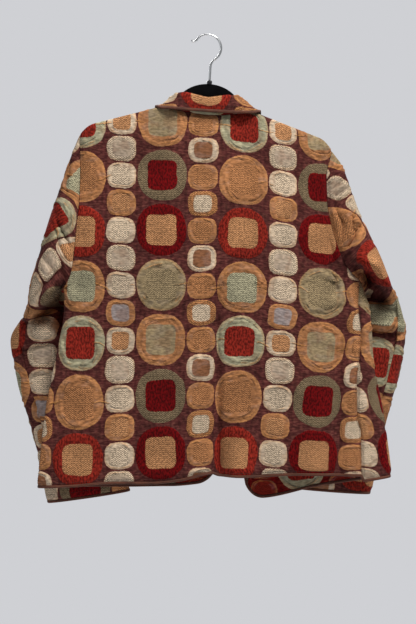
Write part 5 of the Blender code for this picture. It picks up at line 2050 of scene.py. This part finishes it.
def bound_edges():
    """Name, outer and inner points, and way out of the cloth, of each bound edge that has ends."""
    walls = body_walls()
    back, collar = walls["back"], collar_wall()
    yield "back", back.outer[-1], back.inner[-1], np.array([0.0, 0.0, -1.0])
    for side, name in SIDES.items():
        wall = walls["front_" + name]
        rows, columns = wall.outer.shape[:2]
        outer, inner = (
            np.concatenate((points[-1], points[-2::-1, -1])) for points in (wall.outer, wall.inner)
        )
        ways = [[-HEM_LEAN * side, 0.0, -1.0], [-side, 0.0, -EDGE_LEAN]]
        yield "front_" + name, outer, inner, np.repeat(ways, (columns, rows - 1), axis=0)
    way = collar.base[:, -1] - collar.base[:, -3]
    yield "collar", collar.outer[:, -1], collar.inner[:, -1], way


class JACKET_OT_bindings(bpy.types.Operator):
    """Bind the hem, fronts, collar and cuffs"""

    bl_idname = "jacket.bindings"
    bl_label = "Bound edges"

    def execute(self, context):
        for name, *edge in bound_edges():
            rings = tape_rings(*edge)
            add_rod("tape_" + name, "binding_" + name, rings, False, bound_tape())
        for side, name in SIDES.items():
            halves = sleeve_walls(side).values()
            outer = np.concatenate([half.outer[-1, :-1] for half in halves])
            inner = np.concatenate([half.inner[-1, :-1] for half in halves])
            outward = outer - np.concatenate([half.outer[-3, :-1] for half in halves])
            rings = tape_rings(outer, inner, outward, closed=True)
            name = "cuff_" + name
            add_rod("tape_" + name, "binding_" + name, rings, True, bound_tape())
        return {"FINISHED"}


class JACKET_OT_stitching(bpy.types.Operator):
    """Sew the side seams and run a row of stitches along each bound edge"""

    bl_idname = "jacket.stitching"
    bl_label = "Stitching"

    def execute(self, context):
        lift = context.scene.jacket_sewing.thickness / 4
        back, left, right = body_walls().values()
        tree = stitch_tree()
        below = slice(ARMHOLE_ROWS + STITCHES_START, -STITCHES_END)
        seams = [
            back.line(below, -1 - SEAM_COLUMN, lift),
            right.line(below, SEAM_COLUMN, lift),
            back.line(below, LEFT_SEAM_COLUMN, lift),
            left.line(below, LEFT_SEAM_COLUMN, lift),
        ]
        add_stitches("stitches_side_seams", seams, tree)
        inside = slice(EDGE_ROW, -EDGE_ROW)
        rows = [back.line(-EDGE_ROW, inside, lift)]
        for wall in (left, right):
            rows += [wall.line(-EDGE_ROW, inside, lift), wall.line(inside, -EDGE_ROW, lift)]
        for side in SIDES:
            rows += [half.line(-EDGE_ROW, inside, lift) for half in sleeve_walls(side).values()]
        rows.append(collar_wall().line(inside, -COLLAR_EDGE_ROW, lift))
        add_stitches("stitches_edges", rows, tree)
        return {"FINISHED"}


class JACKET_OT_hanger(bpy.types.Operator):
    """Make the flocked frame, its ferrule and the wire hook"""

    bl_idname = "jacket.hanger"
    bl_label = "Hanger"

    def execute(self, context):
        flock = velvet_flock()
        add_rod("flocked_frame", "hanger_frame", frame_rings(), True, flock)
        add_rod("ferrule", "hanger_neck", ferrule_rings(), False, black_ferrule())
        add_rod("wire_hook", "hanger_hook", hook_rings(), False, bright_wire())
        return {"FINISHED"}


def add_light(name, place, aim, size, power, colour):
    """A round soft light turned towards a place."""
    light = bpy.data.lights.new(name, "AREA")
    light.shape = "DISK"
    light.size = size
    light.energy = power
    light.color = colour
    lamp = add_object(name, light)
    lamp.location = place
    lamp.rotation_euler = (aim - Vector(place)).to_track_quat("-Z", "Y").to_euler()


def add_camera(stage, middle):
    """A level camera behind the jacket."""
    camera = bpy.data.cameras.new("camera")
    camera.lens = stage.lens
    camera.clip_end = VIEW_ENDS
    eye = add_object("camera", camera)
    eye.location = middle - Vector((0.0, stage.distance, 0.0))
    eye.rotation_euler = (math.pi / 2, 0.0, 0.0)
    return eye


def add_floor(stage):
    """A round floor below the hanging jacket."""
    angle = np.linspace(0.0, 2 * math.pi, FLOOR_POINTS, endpoint=False)
    x, y = FLOOR_RADIUS * np.cos(angle), FLOOR_RADIUS * np.sin(angle)
    rim = np.stack((x, y, np.full_like(angle, -stage.floor_drop)), axis=-1)
    mesh = bpy.data.meshes.new("floor")
    mesh.from_pydata(rim.tolist(), [], [list(range(len(rim)))])
    mesh.materials.append(pale_floor())
    floor = add_object("floor", mesh)


def pale_room(stage):
    """A world that looks pale and gives a little light from all round."""
    world = bpy.data.worlds.new("pale_room")
    world.use_nodes = True
    tree = world.node_tree
    around = tree.nodes["Background"]
    pale = (*stage.pale, 1.0)
    around.inputs["Color"].default_value = pale
    around.inputs["Strength"].default_value = stage.around / max(stage.pale)
    seen = add_node(tree, "ShaderNodeBackground", {"Color": pale}, {})
    path = add_node(tree, "ShaderNodeLightPath", {}, {})
    shares = {0: path.outputs["Is Camera Ray"], 1: around.outputs[0], 2: seen.outputs[0]}
    both = add_node(tree, "ShaderNodeMixShader", shares, {})
    feed(tree, tree.nodes["World Output"].inputs["Surface"], both.outputs[0])
    return world


class JACKET_OT_stage(bpy.types.Operator):
    """Set the camera, the soft light and the floor"""

    bl_idname = "jacket.stage"
    bl_label = "Stage"

    def execute(self, context):
        scene, stage = context.scene, context.scene.jacket_stage
        middle = Vector(stage.middle)
        scene.camera = add_camera(stage, middle)
        scene.view_settings.view_transform = "Standard"
        for name, (place, size, colour) in LIGHTS.items():
            add_light(name, place, middle, size, getattr(stage, name), colour)
        add_floor(stage)
        scene.world = pale_room(stage)
        return {"FINISHED"}


class JACKET_PT_parts(bpy.types.Panel):
    """The jacket's pieces, in the order they are made"""

    bl_label = "Jacket"
    bl_idname = "JACKET_PT_parts"
    bl_space_type = "VIEW_3D"
    bl_region_type = "UI"
    bl_category = "Jacket"

    def draw(self, context):
        for operator in OPERATORS:
            self.layout.operator(operator.bl_idname)
        for group in GROUPS:
            box = self.layout.box()
            for name in GROUPS[group].__annotations__:
                box.prop(getattr(context.scene, group), name)


GROUPS = {
    "jacket_yarns": JacketYarns,
    "jacket_cloth": JacketCloth,
    "jacket_sewing": JacketSewing,
    "jacket_stage": JacketStage,
}
OPERATORS = (
    JACKET_OT_stage,
    JACKET_OT_body,
    JACKET_OT_sleeves,
    JACKET_OT_collar,
    JACKET_OT_bindings,
    JACKET_OT_stitching,
    JACKET_OT_hanger,
)


def register():
    for group, kind in GROUPS.items():
        bpy.utils.register_class(kind)
        setattr(bpy.types.Scene, group, bpy.props.PointerProperty(type=kind))
    for kind in (*OPERATORS, JACKET_PT_parts):
        bpy.utils.register_class(kind)


def unregister():
    for kind in (JACKET_PT_parts, *reversed(OPERATORS)):
        bpy.utils.unregister_class(kind)
    for group, kind in GROUPS.items():
        delattr(bpy.types.Scene, group)
        bpy.utils.unregister_class(kind)


def declare(node, wall):
    """Measures the flat cut of a piece of cloth, and keeps nothing of it."""
    width, length, area = wall.cut()


def declare_cloth():
    """Measures the flat cut of every piece of cloth."""
    for name, wall in body_walls().items():
        declare(name, wall)
    declare("collar", collar_wall())
    for side, name in SIDES.items():
        for part, wall in sleeve_walls(side).items():
            declare(f"sleeve_{name}_{part}", wall)


def main():
    register()
    for operator in OPERATORS:
        group, name = operator.bl_idname.split(".")
        getattr(getattr(bpy.ops, group), name)()
    declare_cloth()


if __name__ == "__main__":
    main()
